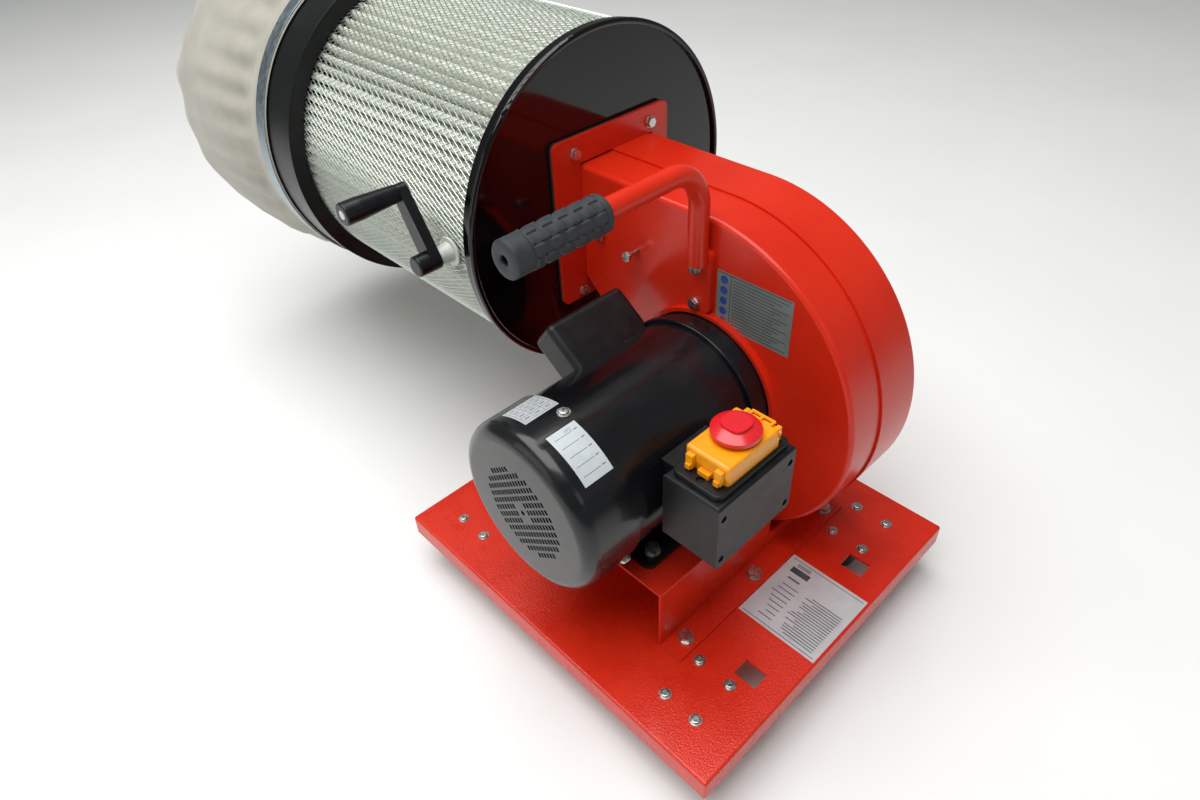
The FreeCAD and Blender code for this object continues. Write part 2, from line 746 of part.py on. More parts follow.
def scroll_wire(x, end_y):
    """Outline of the blower housing in a plane of constant x, open neck towards +y."""
    def p(y, z):
        return Vec(x, y, z)
    tongue = p(tongue_y, tongue_z)
    toe_angle = (math.atan2(tongue_z - toe_z, tongue_dy) - math.pi / 2) / 2
    low = p(motor_y, scroll_low_z)
    toe_mid = p(motor_y + toe_r * math.cos(toe_angle), toe_z + toe_r * math.sin(toe_angle))
    half = math.sqrt(0.5)
    left = p(motor_y - scroll_r, motor_z)
    left_mid = p(motor_y - scroll_r * half, motor_z - scroll_r * half)
    top = p(top_arc_y, volute_top_z)
    top_mid = p(top_arc_y - scroll_top_r * half, motor_z + scroll_top_r * half)
    edges = [
        Part.LineSegment(p(end_y, volute_top_z), top).toShape(),
        Part.Arc(top, top_mid, left).toShape(),
        Part.Arc(left, left_mid, low).toShape(),
        Part.Arc(low, toe_mid, tongue).toShape(),
        Part.LineSegment(tongue, p(flange_y, neck_low_z)).toShape(),
        Part.LineSegment(p(flange_y, neck_low_z), p(end_y, neck_low_z)).toShape(),
        Part.LineSegment(p(end_y, neck_low_z), p(end_y, volute_top_z)).toShape(),
    ]
    return Part.Wire(edges)


def scroll_solid(x0, x1, offset, end_y):
    wire = scroll_wire(x0, end_y)
    if offset:
        wire = wire.makeOffset2D(offset)
    return Part.Face(wire).extrude(Vec(x1 - x0, 0, 0))


def make_volute():
    over = flange_y + 40
    seam_x = volute_x0 + volute_seam
    trim = block(volute_x0 - 50, volute_x1 + 50, flange_y, over + 50, 0, 600)
    inside = -volute_sheet

    # motor-side half: wall, rim and the raised collar around the motor
    shell = scroll_solid(volute_x0, seam_x, 0, over)
    face_edges = [e for e in shell.Edges if abs(e.BoundBox.XMin - volute_x0) < 1e-6
                  and abs(e.BoundBox.XMax - volute_x0) < 1e-6 and e.BoundBox.YMin < over - 1]
    shell = shell.makeFillet(volute_edge_r, face_edges)
    collar = rod((volute_x0 - collar_h, motor_y, motor_z), X_AXIS, collar_h + volute_sheet, collar_r)
    shell = shell.cut(scroll_solid(volute_x0 + volute_sheet, seam_x + 1, inside, over + 1))
    shell = shell.fuse(collar)
    bell_room = rod((volute_x0 - collar_h - 1, motor_y, motor_z), X_AXIS, collar_h + 1,
                    collar_r - collar_wall)
    eye = rod((volute_x0 - 20, motor_y, motor_z), X_AXIS, 60, eye_r)
    holes = [rod((volute_x0 - 1, y, z), X_AXIS, volute_sheet + 2, small_bolt_r)
             for y, z in handle_bolt_places() + brace_bolt_places()]
    shell = cut(shell, [bell_room, eye, trim] + holes)
    add("volute_front_shell", shell.removeSplitter())

    # inlet-side half laps over the rim of the other
    back = scroll_solid(seam_x - volute_lap, volute_x1, lap_out, over)
    face_edges = [e for e in back.Edges if abs(e.BoundBox.XMin - volute_x1) < 1e-6
                  and abs(e.BoundBox.XMax - volute_x1) < 1e-6 and e.BoundBox.YMin < over - 1]
    back = back.makeFillet(volute_edge_r, face_edges)
    back = back.cut(scroll_solid(seam_x - volute_lap - 1, volute_x1 - volute_sheet, volute_lap_gap, over + 1))
    inlet = rod((volute_x1 - 20, motor_y, motor_z), X_AXIS, 60, inlet_r - inlet_sheet)
    screws = [rod(around(volute_x1 - 10, inlet_screw_r, a), X_AXIS, 20, screw_r) for a in inlet_screw_angles()]
    add("volute_back_shell", cut(back, [inlet, trim] + screws).removeSplitter())


def handle_bolt_places():
    return [(handle_y + handle_bolt_dy, handle_foot_z + z) for z in handle_bolt_z]


def brace_bolt_places():
    return [(flange_y - y, neck_low_z + z) for y, z in zip(brace_y, brace_z)]


def inlet_screw_angles():
    return [45.0 + 90.0 * i for i in range(4)]


def make_outlet_joint():
    """Flange welded on the neck, its gasket, and the bolts into the drum's end plate."""
    x0 = flange_cx - flange_w / 2
    z0 = flange_cz - flange_h / 2
    neck = scroll_solid(volute_x0, volute_x1, lap_out, flange_y + 40)
    duct = neck_opening(flange_y - 1, flange_y + gasket_t + 1)
    flange = round_block(x0, x0 + flange_w, flange_y - flange_t, flange_y, z0, z0 + flange_h,
                         flange_corner, Y_AXIS)
    holes = [rod((x, flange_y - 20, z), Y_AXIS, 60, small_bolt_r) for x, z in flange_bolt_places()]
    add("outlet_flange", cut(flange, [neck] + holes))
    gasket = round_block(x0, x0 + flange_w, flange_y, flange_y + gasket_t, z0, z0 + flange_h,
                         flange_corner, Y_AXIS)
    add("flange_gasket", cut(gasket, [duct] + holes))


def neck_opening(y0, y1):
    return block(volute_x0 + volute_sheet, volute_x1 - volute_sheet, y0, y1,
                 neck_low_z + volute_sheet, volute_top_z - volute_sheet)


def flange_bolt_places():
    """Bolt centres: the low one on the inlet side stands clear of the sloping duct wall."""
    middle = flange_cz - flange_bolt_drop
    high = middle + flange_bolt_z / 2
    low = middle - flange_bolt_z / 2
    left = flange_cx - flange_bolt_x / 2
    return [(left, low), (left, high), (flange_cx + flange_bolt_x / 2, high),
            (volute_x1 + lap_out + flange_bolt_clear, low)]


def make_housing_bolts():
    """Hex bolts of the flange, the handle and the blower wall."""
    minus_y = Vec(0, -1, 0)
    minus_x = Vec(-1, 0, 0)
    bolts = []
    for x, z in flange_bolt_places():
        bolts.append(hex_bolt((x, flange_y - flange_t, z), minus_y, small_bolt_r,
                              flange_t + gasket_t + drum_sheet + 6))
        nut_y = drum_y0 + drum_sheet
        nut = hex_prism((x, nut_y, z), Y_AXIS, 10, 5)
        bolts.append(nut.cut(rod((x, nut_y - 1, z), Y_AXIS, 8, small_bolt_r)))
    for y, z in handle_bolt_places():
        bolts.append(hex_bolt((volute_x0 - handle_flat_t, y, z), minus_x, small_bolt_r,
                              handle_flat_t + volute_sheet + 5))
    for (y, z), spacer in zip(brace_bolt_places(), brace_spacer):
        bolts.append(hex_bolt((volute_x0 - spacer, y, z), minus_x, small_bolt_r,
                              spacer + volute_sheet + 5, washer=False))
    add("housing_bolts", *bolts)


def make_inlet():
    """Hose spigot on the back of the blower, with its finger guard."""
    flange = ring((volute_x1, motor_y, motor_z), X_AXIS, inlet_sheet, inlet_flange_r,
                  inlet_r - inlet_sheet)
    spigot = ring((volute_x1, motor_y, motor_z), X_AXIS, inlet_length, inlet_r, inlet_r - inlet_sheet)
    shape = fuse([flange, spigot])
    holes = [rod(around(volute_x1 - 1, inlet_screw_r, a), X_AXIS, 5, screw_r) for a in inlet_screw_angles()]
    guard_x = volute_x1 + inlet_sheet
    inner = inlet_r - inlet_sheet
    hoops = [ring((guard_x, motor_y, motor_z), X_AXIS, inlet_guard_t, inner * share + inlet_guard_t,
                  inner * share) for share in (0.3, 0.62)]
    half = inlet_guard_t / 2
    reach = inner + inlet_sheet / 2
    bars = [block(guard_x, guard_x + inlet_guard_t, motor_y - reach, motor_y + reach,
                  motor_z - half, motor_z + half),
            block(guard_x, guard_x + inlet_guard_t, motor_y - half, motor_y + half,
                  motor_z - reach, motor_z + reach)]
    shape = fuse([shape] + hoops + bars)
    add("inlet_spigot", cut(shape, holes))


def make_impeller():
    back = rod((impeller_x0, motor_y, motor_z), X_AXIS, impeller_sheet, impeller_r)
    hub = rod((impeller_x0, motor_y, motor_z), X_AXIS, 40, hub_r)
    blades = []
    for i in range(impeller_blades):
        blade = extrude_wire([(impeller_x0, motor_y + hub_r - 3, motor_z),
                              (impeller_x0, motor_y + impeller_r, motor_z),
                              (impeller_x1, motor_y + impeller_r, motor_z),
                              (impeller_x1, motor_y + 62, motor_z),
                              (impeller_x0 + 30, motor_y + hub_r - 3, motor_z)],
                             Vec(0, 0, impeller_sheet))
        blade.rotate(Vec(0, motor_y, motor_z), X_AXIS, 360 * i / impeller_blades)
        blades.append(blade)
    wheel = fuse([back, hub] + blades)
    wheel = wheel.cut(rod((impeller_x0 - 1, motor_y, motor_z), X_AXIS, 90, journal_r - running))
    bolt_x = impeller_x0 + 40
    end_cap = ring((bolt_x, motor_y, motor_z), X_AXIS, 4, 16, journal_r - running)
    end_plate = rod((shaft_x1, motor_y, motor_z), X_AXIS, 2, 12)
    head = hex_prism((shaft_x1 + 2, motor_y, motor_z), X_AXIS, 13, 5)
    add("impeller", wheel)
    add("impeller_bolt", end_cap, fuse([end_plate, head]))


# ---- carrying handle ---------------------------------------------------------

def make_handle():
    """Bent tube: flattened leg on the blower wall, bend, and a level stretch for the grip."""
    leg_x = volute_x0 - handle_r
    level_x0 = grip_x0 + grip_end_t
    half = handle_flat_w / 2
    bend_z = handle_top_z - handle_bend_r
    bend_x = leg_x - handle_bend_r
    leg = rod((leg_x, handle_y, handle_flat_z), Z_AXIS, bend_z - handle_flat_z, handle_r)
    level = rod((level_x0, handle_y, handle_top_z), X_AXIS, bend_x - level_x0, handle_r)
    circle = Part.Face(Part.Wire([Part.makeCircle(handle_r, Vec(leg_x, handle_y, bend_z), Z_AXIS)]))
    bend = circle.revolve(Vec(bend_x, handle_y, bend_z), Vec(0, -1, 0), 90)
    bore = handle_r - handle_wall
    hollow = rod((level_x0 - 1, handle_y, handle_top_z), X_AXIS, bend_x - level_x0 + 1, bore)
    flat = round_block(volute_x0 - handle_flat_t, volute_x0, handle_y - half, handle_y + half,
                       handle_foot_z, handle_flat_z + 4, 6, X_AXIS)
    neck = rod((leg_x, handle_y, handle_flat_z - handle_neck), Z_AXIS, handle_neck, handle_r)
    shape = fuse([leg, bend, level, flat, neck])
    holes = [rod((volute_x0 - 40, y, z), X_AXIS, 60, small_bolt_r) for y, z in handle_bolt_places()]
    add("carry_handle", cut(shape, [hollow] + holes))
    sleeve = rod((grip_x0, handle_y, handle_top_z), X_AXIS, grip_length, grip_r)
    sleeve = sleeve.makeFillet(2.5, [e for e in sleeve.Edges if isinstance(e.Curve, Part.Circle)])
    tube_room = rod((level_x0, handle_y, handle_top_z), X_AXIS, grip_length, handle_r)
    vent = rod((grip_x0 - 1, handle_y, handle_top_z), X_AXIS, 10, grip_hole_r)
    add("handle_grip", cut(sleeve, [tube_room, vent]))


# ---- electrics ---------------------------------------------------------------

def make_capacitor():
    """Moulded box on the shoulder of the motor with the run capacitor inside."""
    centre = Vec(cap_x0 + cap_length / 2, motor_y, motor_z)
    turn = FreeCAD.Rotation(X_AXIS, cap_angle_deg)
    place = FreeCAD.Placement(centre, turn)
    half_x = cap_length / 2
    half_w = cap_width / 2
    inner = motor_body_r - 6
    outer = motor_body_r + cap_reach
    cover = block(-half_x, half_x, inner, outer, -half_w, half_w)
    cover = cover.makeFillet(cap_round, [e for e in cover.Edges if e.BoundBox.YMax > outer - 1
                                         or e.BoundBox.YMax - e.BoundBox.YMin > 1])
    hollow = block(-half_x + cap_wall, half_x - cap_wall, inner - 1, outer - cap_wall,
                   -half_w + cap_wall, half_w - cap_wall)
    hollow = hollow.makeFillet(cap_round - cap_wall, [e for e in hollow.Edges
                                                      if e.BoundBox.YMax > outer - cap_wall - 1
                                                      or e.BoundBox.YMax - e.BoundBox.YMin > 1])
    cover = cover.cut(hollow)
    rim_room = rod((motor_x1 - centre.x - cap_wall, 0, 0), X_AXIS, cap_length, front_bell_r + 0.5)
    cover = cover.cut(rim_room)
    saddle_cut = rod((-half_x - 1, 0, 0), X_AXIS, cap_length + 2, motor_body_r)
    cover = cover.cut(saddle_cut)
    cell = rod((-half_x + 8, motor_body_r + 8 + cap_cell_r, 0), X_AXIS, cap_length - 16, cap_cell_r)
    clamp = block(-6, 6, motor_body_r - 3, motor_body_r + 8 + cap_cell_r, -cap_cell_r - 1, cap_cell_r + 1)
    clamp = cut(clamp, [cell, saddle_cut])
    for shape in (cover, cell, clamp):
        shape.Placement = place.multiply(shape.Placement)
    add("capacitor_cover", cover)
    add("run_capacitor", cell, clamp)


def switch_box_screw_places():
    return [(switch_x0 + dx, switch_z0 + dz) for dx in (7.0, switch_length - 7.0)
            for dz in (9.0, switch_height - 15.0)]


def make_switch_box():
    x1 = switch_x0 + switch_length
    y1 = switch_y0 + switch_width
    z1 = switch_z0 + switch_height
    box = block(switch_x0, x1, switch_y0, y1, switch_z0, z1)
    soft = [e for e in edges_along(box, Y_AXIS)] + [e for e in edges_along(box, X_AXIS)
                                                   if abs(e.BoundBox.ZMin - z1) < 1e-6]
    box = box.makeFillet(3.0, soft)
    wall = switch_wall
    hollow = block(switch_x0 + wall, x1 - wall, switch_y0 + wall, y1 - wall, switch_z0 + wall, z1 - wall)
    mouth = block(switch_unit_x0 + 3, switch_unit_x1 - 3, switch_cy - switch_unit_y / 2 + 3,
                  switch_cy + switch_unit_y / 2 - 3, z1 - wall - 1, z1 + 1)
    box = cut(box, [hollow, mouth])
    posts = []
    pockets = []
    screws = []
    for x, z in switch_box_screw_places():
        posts.append(rod((x, switch_y0, z), Y_AXIS, switch_width - wall, 5.0))
        pockets.append(rod((x, switch_y0 - 1, z), Y_AXIS, 5.0, 3.4))
        pockets.append(rod((x, switch_y0 + 1, z), Y_AXIS, switch_width, 1.8))
        screws.append(fuse([rod((x, switch_y0 + 1.5, z), Y_AXIS, 2.5, 3.0),
                            rod((x, switch_y0 + 1.5, z), Y_AXIS, switch_width - 1.5, 1.8)]))
    gland_hole = rod((x1 - 28, switch_cy, switch_z0 - 1), Z_AXIS, wall + 2, 8.0)
    panel_x0 = switch_x0 + panel_inset
    panel_x1 = x1 - 2.0
    tapped = [rod((panel_x0 + 7.0, switch_cy, z1 - wall - 1), Z_AXIS, 10, 1.8)]
    add("switch_box", cut(fuse([box] + posts), pockets + [gland_hole] + tapped))

    panel = round_block(panel_x0, panel_x1, switch_y0 + panel_inset, y1 - panel_inset + 1, z1, panel_z1, 7.0)
    top_rim = [e for e in panel.Edges if abs(e.BoundBox.ZMin - panel_z1) < 1e-6]
    panel = panel.makeFillet(1.2, top_rim)
    throat = block(switch_unit_x0 + 3, switch_unit_x1 - 3, switch_cy - switch_unit_y / 2 + 3,
                   switch_cy + switch_unit_y / 2 - 3, z1 - 1, panel_z1 + 1)
    screw_pocket = rod((panel_x0 + 7.0, switch_cy, z1 + 2.0), Z_AXIS, 10, 3.6)
    add("switch_panel", cut(panel, [throat, screw_pocket] + tapped))
    screws.append(fuse([rod((panel_x0 + 7.0, switch_cy, z1 + 2.0), Z_AXIS, 2.2, 3.2),
                        rod((panel_x0 + 7.0, switch_cy, z1 - wall), Z_AXIS, 5.0, 1.8)]))
    add("switch_screws", *screws)

    # saddle between the motor barrel and the box
    saddle = block(switch_x0 + 22, x1 - 22, y1, motor_y - 40, motor_z - 10, z1 - 12)
    barrel = rod((0, motor_y, motor_z), X_AXIS, 400, motor_body_r)
    saddle = cut(saddle, [barrel])
    keep = block(0, 400, y1 - 1, motor_y - 55, 0, 400)
    saddle = saddle.common(keep)
    saddle = saddle.cut(rod((switch_x0 + 52, y1 - 1, motor_z + 20), Y_AXIS, 60, 9.0))
    bodies = sorted(saddle.Solids, key=lambda s: s.Volume)
    add("switch_saddle", bodies[-1])

    # gland under the box, blanked where the supply lead would enter
    gland_x = x1 - 28
    nut = hex_prism((gland_x, switch_cy, switch_z0 - 8), Z_AXIS, 19, 8)
    neck = rod((gland_x, switch_cy, switch_z0 - 8), Z_AXIS, 8 + wall + 4, 7.9)
    dome = Part.makeCone(6.0, 9.0, 11, Vec(gland_x, switch_cy, switch_z0 - 19), Z_AXIS)
    bore = rod((gland_x, switch_cy, switch_z0 - 20), Z_AXIS, 50, 3.5)
    add("cable_gland", fuse([nut, neck, dome]).cut(bore))


def button_places():
    """Centres of the start and stop buttons; stop lies under the mushroom."""
    return mushroom_x() - button_size - 5.0, mushroom_x()


def make_switch_unit():
    """No-volt switch: yellow frame, two buttons, and a hinged lid with the stop mushroom."""
    y0 = switch_cy - switch_unit_y / 2
    y1 = switch_cy + switch_unit_y / 2
    frame = round_block(switch_unit_x0, switch_unit_x1, y0, y1, panel_z1, frame_z1, 4.0)
    body = block(switch_unit_x0 + 4, switch_unit_x1 - 4, y0 + 4, y1 - 4, panel_z1 - 40, panel_z1 + 3.0)
    wells = []
    start_x, stop_x = button_places()
    room = button_size / 2 + button_gap
    for x in (start_x, stop_x):
        wells.append(block(x - room, x + room, switch_cy - room, switch_cy + room,
                           panel_z1 - 3.0, frame_z1 + 1))
    tray = block(switch_unit_x0 + 6, switch_unit_x1 - 6, y0 + 6, y1 - 6, panel_z1 + 3.0, frame_z1 + 1)
    catch = block(switch_unit_x0 - 5, switch_unit_x0 + 2, switch_cy - 6, switch_cy + 6, panel_z1 + 0.5,
                  panel_z1 + 5.5)
    ears = []
    hinge_x = switch_unit_x1 + 2.0
    hinge_z = frame_z1 + 3.0
    for side in (-1, 1):
        y = switch_cy + side * (switch_unit_y / 2 - 6)
        ear = extrude_wire([(switch_unit_x1 - 4, y - 2, panel_z1), (hinge_x + 4, y - 2, panel_z1),
                            (hinge_x + 4, y - 2, hinge_z + 3.5), (hinge_x - 3, y - 2, hinge_z + 3.5),
                            (hinge_x - 3, y - 2, frame_z1), (switch_unit_x1 - 4, y - 2, frame_z1)],
                           Vec(0, 4, 0))
        ears.append(ear)
    pin = rod((hinge_x, y0 + 2, hinge_z), Y_AXIS, switch_unit_y - 4, hinge_pin_r)
    frame = cut(fuse([frame, body, catch] + ears), wells + [tray])
    add("switch_frame", frame.cut(pin), pin)

    depth = panel_z1 - 3.0 + button_travel + 1.0
    for name, x in (("start_button", start_x), ("stop_button", stop_x)):
        half = button_size / 2
        cap = round_block(x - half, x + half, switch_cy - half, switch_cy + half, depth,
                          panel_z1 + 3.0 + button_out, 2.0)
        add(name, cap)

    # lid: a low hood over the frame, with clip fingers at its free end
    gap = lid_gap
    lid_x0 = switch_unit_x0 - 1.0
    lid_x1 = switch_unit_x1 - 4.5
    hood = block(lid_x0, lid_x1, y0 - 0.5, y1 + 0.5, frame_z1 + gap, lid_z1)
    hood = hood.makeFillet(3.0, edges_along(hood, Z_AXIS)
                           + [e for e in hood.Edges if abs(e.BoundBox.ZMin - lid_z1) < 1e-6])
    hollow = block(lid_x0 + lid_wall, lid_x1 - lid_wall, y0 + 2.0, y1 - 2.0, frame_z1 - 1, lid_z1 - lid_wall)
    hood = hood.cut(hollow)
    knuckle_y = switch_unit_y / 2 - 8 - gap
    arm = block(lid_x1 - 3, hinge_x, switch_cy - knuckle_y, switch_cy + knuckle_y,
                hinge_z - 2.6, hinge_z + 3.0)
    knuckle = rod((hinge_x, switch_cy - knuckle_y, hinge_z), Y_AXIS, 2 * knuckle_y, 3.2)
    fingers = []
    for side in (-1, 1):
        y = switch_cy + side * 15.0
        fingers.append(block(lid_x0 - 4.5, lid_x0 + 1.0, y - 3.5, y + 3.5, panel_z1 + 2.0, frame_z1 + 8.0))
        fingers.append(block(lid_x0 - 6.5, lid_x0 - 2.5, y - 2.5, y + 2.5, panel_z1 + 2.0, panel_z1 + 7.0))
    boss = rod((mushroom_x(), switch_cy, lid_z1 - lid_wall - 3), Z_AXIS, 3 + lid_wall, 12.0)
    lid = fuse([hood, arm, knuckle, boss] + fingers)
    bore = rod((mushroom_x(), switch_cy, frame_z1 - 5), Z_AXIS, 40, mushroom_stem_r - 2 + running)
    pin_room = rod((hinge_x, y0, hinge_z), Y_AXIS, switch_unit_y, hinge_pin_r + running)
    frame_room = block(lid_x0 - 0.5, lid_x1 + 1, y0 - 0.4, y1 + 0.4, panel_z1, frame_z1 + gap)
    lid = cut(lid, [bore, pin_room, frame_room.common(block(switch_unit_x0 - 0.4, lid_x1 + 1, y0 - 1,
                                                            y1 + 1, panel_z1, frame_z1 + gap))])
    add("switch_lid", lid)

    # stop mushroom: plunger, stem and the broad head with its raised step
    x = mushroom_x()
    base = lid_z1 + button_travel + 0.5
    button_top = panel_z1 + 3.0 + button_out
    foot_z = button_top + button_gap
    plunger = rod((x, switch_cy, foot_z), Z_AXIS, base - foot_z, mushroom_stem_r - 2)
    retainer = rod((x, switch_cy, frame_z1 + 1.0), Z_AXIS, lid_h - lid_wall - 3 - 1.4, mushroom_stem_r)
    skirt = rod((x, switch_cy, base), Z_AXIS, 4.0, mushroom_r)
    ball_r = (mushroom_r ** 2 + 6.0 ** 2) / 12.0
    dome = Part.makeSphere(ball_r, Vec(x, switch_cy, base + 4.0 + 6.0 - ball_r))
    dome = dome.common(rod((x, switch_cy, base + 4.0), Z_AXIS, 10, mushroom_r))
    step = round_block(x - 12, x + 12, switch_cy - 12, switch_cy + 12, base + 4.0, base + mushroom_h, 9.0)
    add("stop_mushroom", fuse([plunger, retainer, skirt, dome, step]))


def mushroom_x():
    return (switch_unit_x0 + switch_unit_x1) / 2 + 1.0


# ---- filter drum, crank and bag ----------------------------------------------

def drum_ring(y, length, outer, inner):
    return ring((drum_x, y, drum_z), Y_AXIS, length, outer, inner)


def make_drum():
    disc = rod((drum_x, drum_y0, drum_z), Y_AXIS, drum_sheet, drum_r)
    rim = drum_ring(drum_y0, drum_rim, drum_r + drum_sheet, drum_r)
    bead = Part.makeTorus(drum_r, drum_bead_r, Vec(drum_x, drum_y0 - drum_bead_out, drum_z), Y_AXIS)
    plate = fuse([disc, rim, bead])
    holes = [rod((x, flange_y - 20, z), Y_AXIS, 60, small_bolt_r) for x, z in flange_bolt_places()]
    plate = cut(plate, [neck_opening(drum_y0 - 1, drum_y0 + drum_sheet + 1)] + holes)

    # hanger that carries the agitator's bevel gears, welded beside the inlet
    stay_x = drum_x - 60.0
    stay = block(stay_x - 2, stay_x + 2, mesh_y0, crank_y + 16, drum_z - 15, drum_z + 15)
    stay = stay.cut(rod((stay_x - 5, crank_y, drum_z), X_AXIS, 10, crank_shaft_r + running))
    add("drum_end_plate", fuse([plate, stay]))

    mesh = drum_ring(mesh_y0, mesh_length, mesh_r, mesh_r - mesh_t)
    pass_hole = rod((crank_x - 20, crank_y, drum_z), X_AXIS, 40, bushing_r - bushing_wall + 0.3)
    add("drum_mesh", mesh.cut(pass_hole))

    liner_room = rod((crank_x - 20, crank_y, drum_z), X_AXIS, 60, bushing_r - bushing_wall + 0.3)
    add("pleated_filter", make_pleats().cut(liner_room))

    # far end ring: flared band that the bag is strapped to, with the shaft's cross bar
    y0 = mesh_y1 - 6
    shoulder = drum_ring(mesh_y1, 3, end_ring_r, mesh_r - pleat_depth - 2)
    sleeve = drum_ring(mesh_y1, end_ring_w + band_w + 8, end_ring_r, end_ring_r - end_ring_wall)
    lip = drum_ring(y0, 6, end_ring_r - 8, mesh_r + 0.4)
    slope = drum_ring(y0, 10, end_ring_r, end_ring_r - 8)
    bar = block(drum_x - end_ring_r + 1, drum_x + end_ring_r - 1, mesh_y1 + 6, mesh_y1 + 10,
                drum_z - 9, drum_z + 9)
    foot = rod((drum_x, mesh_y1 + 2, drum_z), Y_AXIS, 14, 12)
    shape = fuse([shoulder, sleeve, lip, slope, bar, foot])
    add("drum_end_ring", shape.cut(rod((drum_x, mesh_y1 - 5, drum_z), Y_AXIS, 40, agitator_r + running)))


def make_pleats():
    """Filter paper folded into a star, standing between the two ends of the drum."""
    outer = pleat_outer_r
    inner = pleat_outer_r - pleat_depth
    sheet = 1.4
    points = []
    for radius_out, radius_in, flip in ((outer, inner, 1), (outer - sheet, inner - sheet, -1)):
        lap = []
        for i in range(2 * pleat_count):
            radius = radius_out if i % 2 == 0 else radius_in
            a = math.pi * i / pleat_count
            lap.append(Vec(drum_x + radius * math.cos(a), mesh_y0 + pleat_gap, drum_z + radius * math.sin(a)))
        points.append(lap)
    faces = [Part.Face(Part.makePolygon(lap + [lap[0]])) for lap in points]
    depth = Vec(0, mesh_length - 2 * pleat_gap, 0)
    outside = faces[0].extrude(depth)
    inside = faces[1].extrude(depth)
    return outside.cut(inside)


def make_crank():
    """Hand crank on the side of the drum: it shakes the filter through a bevel pair."""
    out_x = crank_x - bushing_out
    flange_x = crank_x - bushing_flange_t
    flange = rod((flange_x, crank_y, drum_z), X_AXIS, bushing_flange_t, bushing_r + bushing_flange)
    nose = Part.makeCone(bushing_r, bushing_r - bushing_taper, bushing_out - bushing_flange_t,
                         Vec(flange_x, crank_y, drum_z), Vec(-1, 0, 0))
    liner = rod((crank_x, crank_y, drum_z), X_AXIS, pleat_depth + 10, bushing_r - bushing_wall)
    shape = fuse([flange, nose, liner])
    drum_room = rod((drum_x, crank_y - 40, drum_z), Y_AXIS, 80, mesh_r)
    shape = fuse([shape.cut(drum_room), liner])
    add("crank_bushing", shape.cut(rod((out_x - 5, crank_y, drum_z), X_AXIS, 120, crank_shaft_r + running)))

    gear_face = drum_x - bevel_r
    arm_x1 = out_x - 0.5
    arm_x0 = arm_x1 - crank_arm_t
    shaft_len = gear_face - arm_x0
    shaft = rod((arm_x0, crank_y, drum_z), X_AXIS, shaft_len, crank_shaft_r)
    gear = Part.makeCone(bevel_r - bevel_gap, bevel_r - bevel_w - bevel_gap, bevel_w,
                         Vec(gear_face - bevel_gap, crank_y, drum_z), X_AXIS)
    gear = toothed(gear, (gear_face - bevel_gap, crank_y, drum_z), X_AXIS)
    add("crank_shaft", fuse([shaft, gear]))

    arm = crank_arm_solid(arm_x0, arm_x1)
    boss = rod((arm_x0 - crank_boss, crank_y, drum_z), X_AXIS, crank_boss, crank_arm_w / 2)
    boss = boss.makeFillet(2.5, [e for e in boss.Edges if isinstance(e.Curve, Part.Circle)
                                 and abs(e.BoundBox.XMax - arm_x0 + crank_boss) < 1e-6])
    tip_y, tip_z = crank_tip()
    grip_end_x = arm_x0 - crank_grip_length
    spindle_x0 = grip_end_x + crank_screw_sink
    arm = fuse([arm, boss]).cut(rod((arm_x0, crank_y, drum_z), X_AXIS, crank_arm_t + 5, crank_shaft_r))
    arm = arm.cut(rod((arm_x0 - 1, tip_y, tip_z), X_AXIS, crank_arm_t + 5, crank_pin_r))
    spindle = fuse([rod((spindle_x0, tip_y, tip_z), X_AXIS, arm_x0 + crank_arm_t - spindle_x0, crank_pin_r),
                    rod((grip_end_x, tip_y, tip_z), X_AXIS, crank_screw_h, crank_screw_r)])
    add("crank_arm", arm)
    add("crank_spindle", spindle)

    base = Vec(arm_x0 - 0.5, tip_y, tip_z)
    cone_length = crank_grip_length * crank_grip_cone
    grip = Part.makeCone(crank_grip_r - crank_grip_waist, crank_grip_r, cone_length, base, Vec(-1, 0, 0))
    end = rod((grip_end_x, tip_y, tip_z), X_AXIS, crank_grip_length - cone_length, crank_grip_r)
    grip = fuse([grip, end])
    grip = grip.makeFillet(crank_edge_r, [e for e in grip.Edges if isinstance(e.Curve, Part.Circle)
                                          and abs(e.BoundBox.XMax - grip_end_x) < 1e-6
                                          and abs(e.BoundBox.XMin - grip_end_x) < 1e-6])
    grip = grip.cut(rod((grip_end_x - 1, tip_y, tip_z), X_AXIS, crank_grip_length + 5, crank_pin_r + running))
    screw_room = crank_screw_h + 1 + grip_gap
    grip = grip.cut(rod((grip_end_x - 1, tip_y, tip_z), X_AXIS, screw_room, crank_screw_r + grip_gap))
    add("crank_grip", grip)


def crank_tip():
    lean = math.radians(crank_lean_deg)
    return crank_y + crank_arm_length * math.sin(lean), drum_z + crank_arm_length * math.cos(lean)


def crank_arm_solid(x0, x1):
    """Flat arm with round ends, leaning a little back from upright."""
    half = crank_arm_w / 2
    tip = crank_arm_w / 2 - 2.5
    web = extrude_wire([(x0, crank_y - half, drum_z), (x0, crank_y + half, drum_z),
                        (x0, crank_y + tip, drum_z + crank_arm_length),
                        (x0, crank_y - tip, drum_z + crank_arm_length)], Vec(x1 - x0, 0, 0))
    ends = [rod((x0, crank_y, drum_z), X_AXIS, x1 - x0, half),
            rod((x0, crank_y, drum_z + crank_arm_length), X_AXIS, x1 - x0, tip)]
    arm = fuse([web] + ends)
    arm.rotate(Vec(0, crank_y, drum_z), X_AXIS, -crank_lean_deg)
    return arm


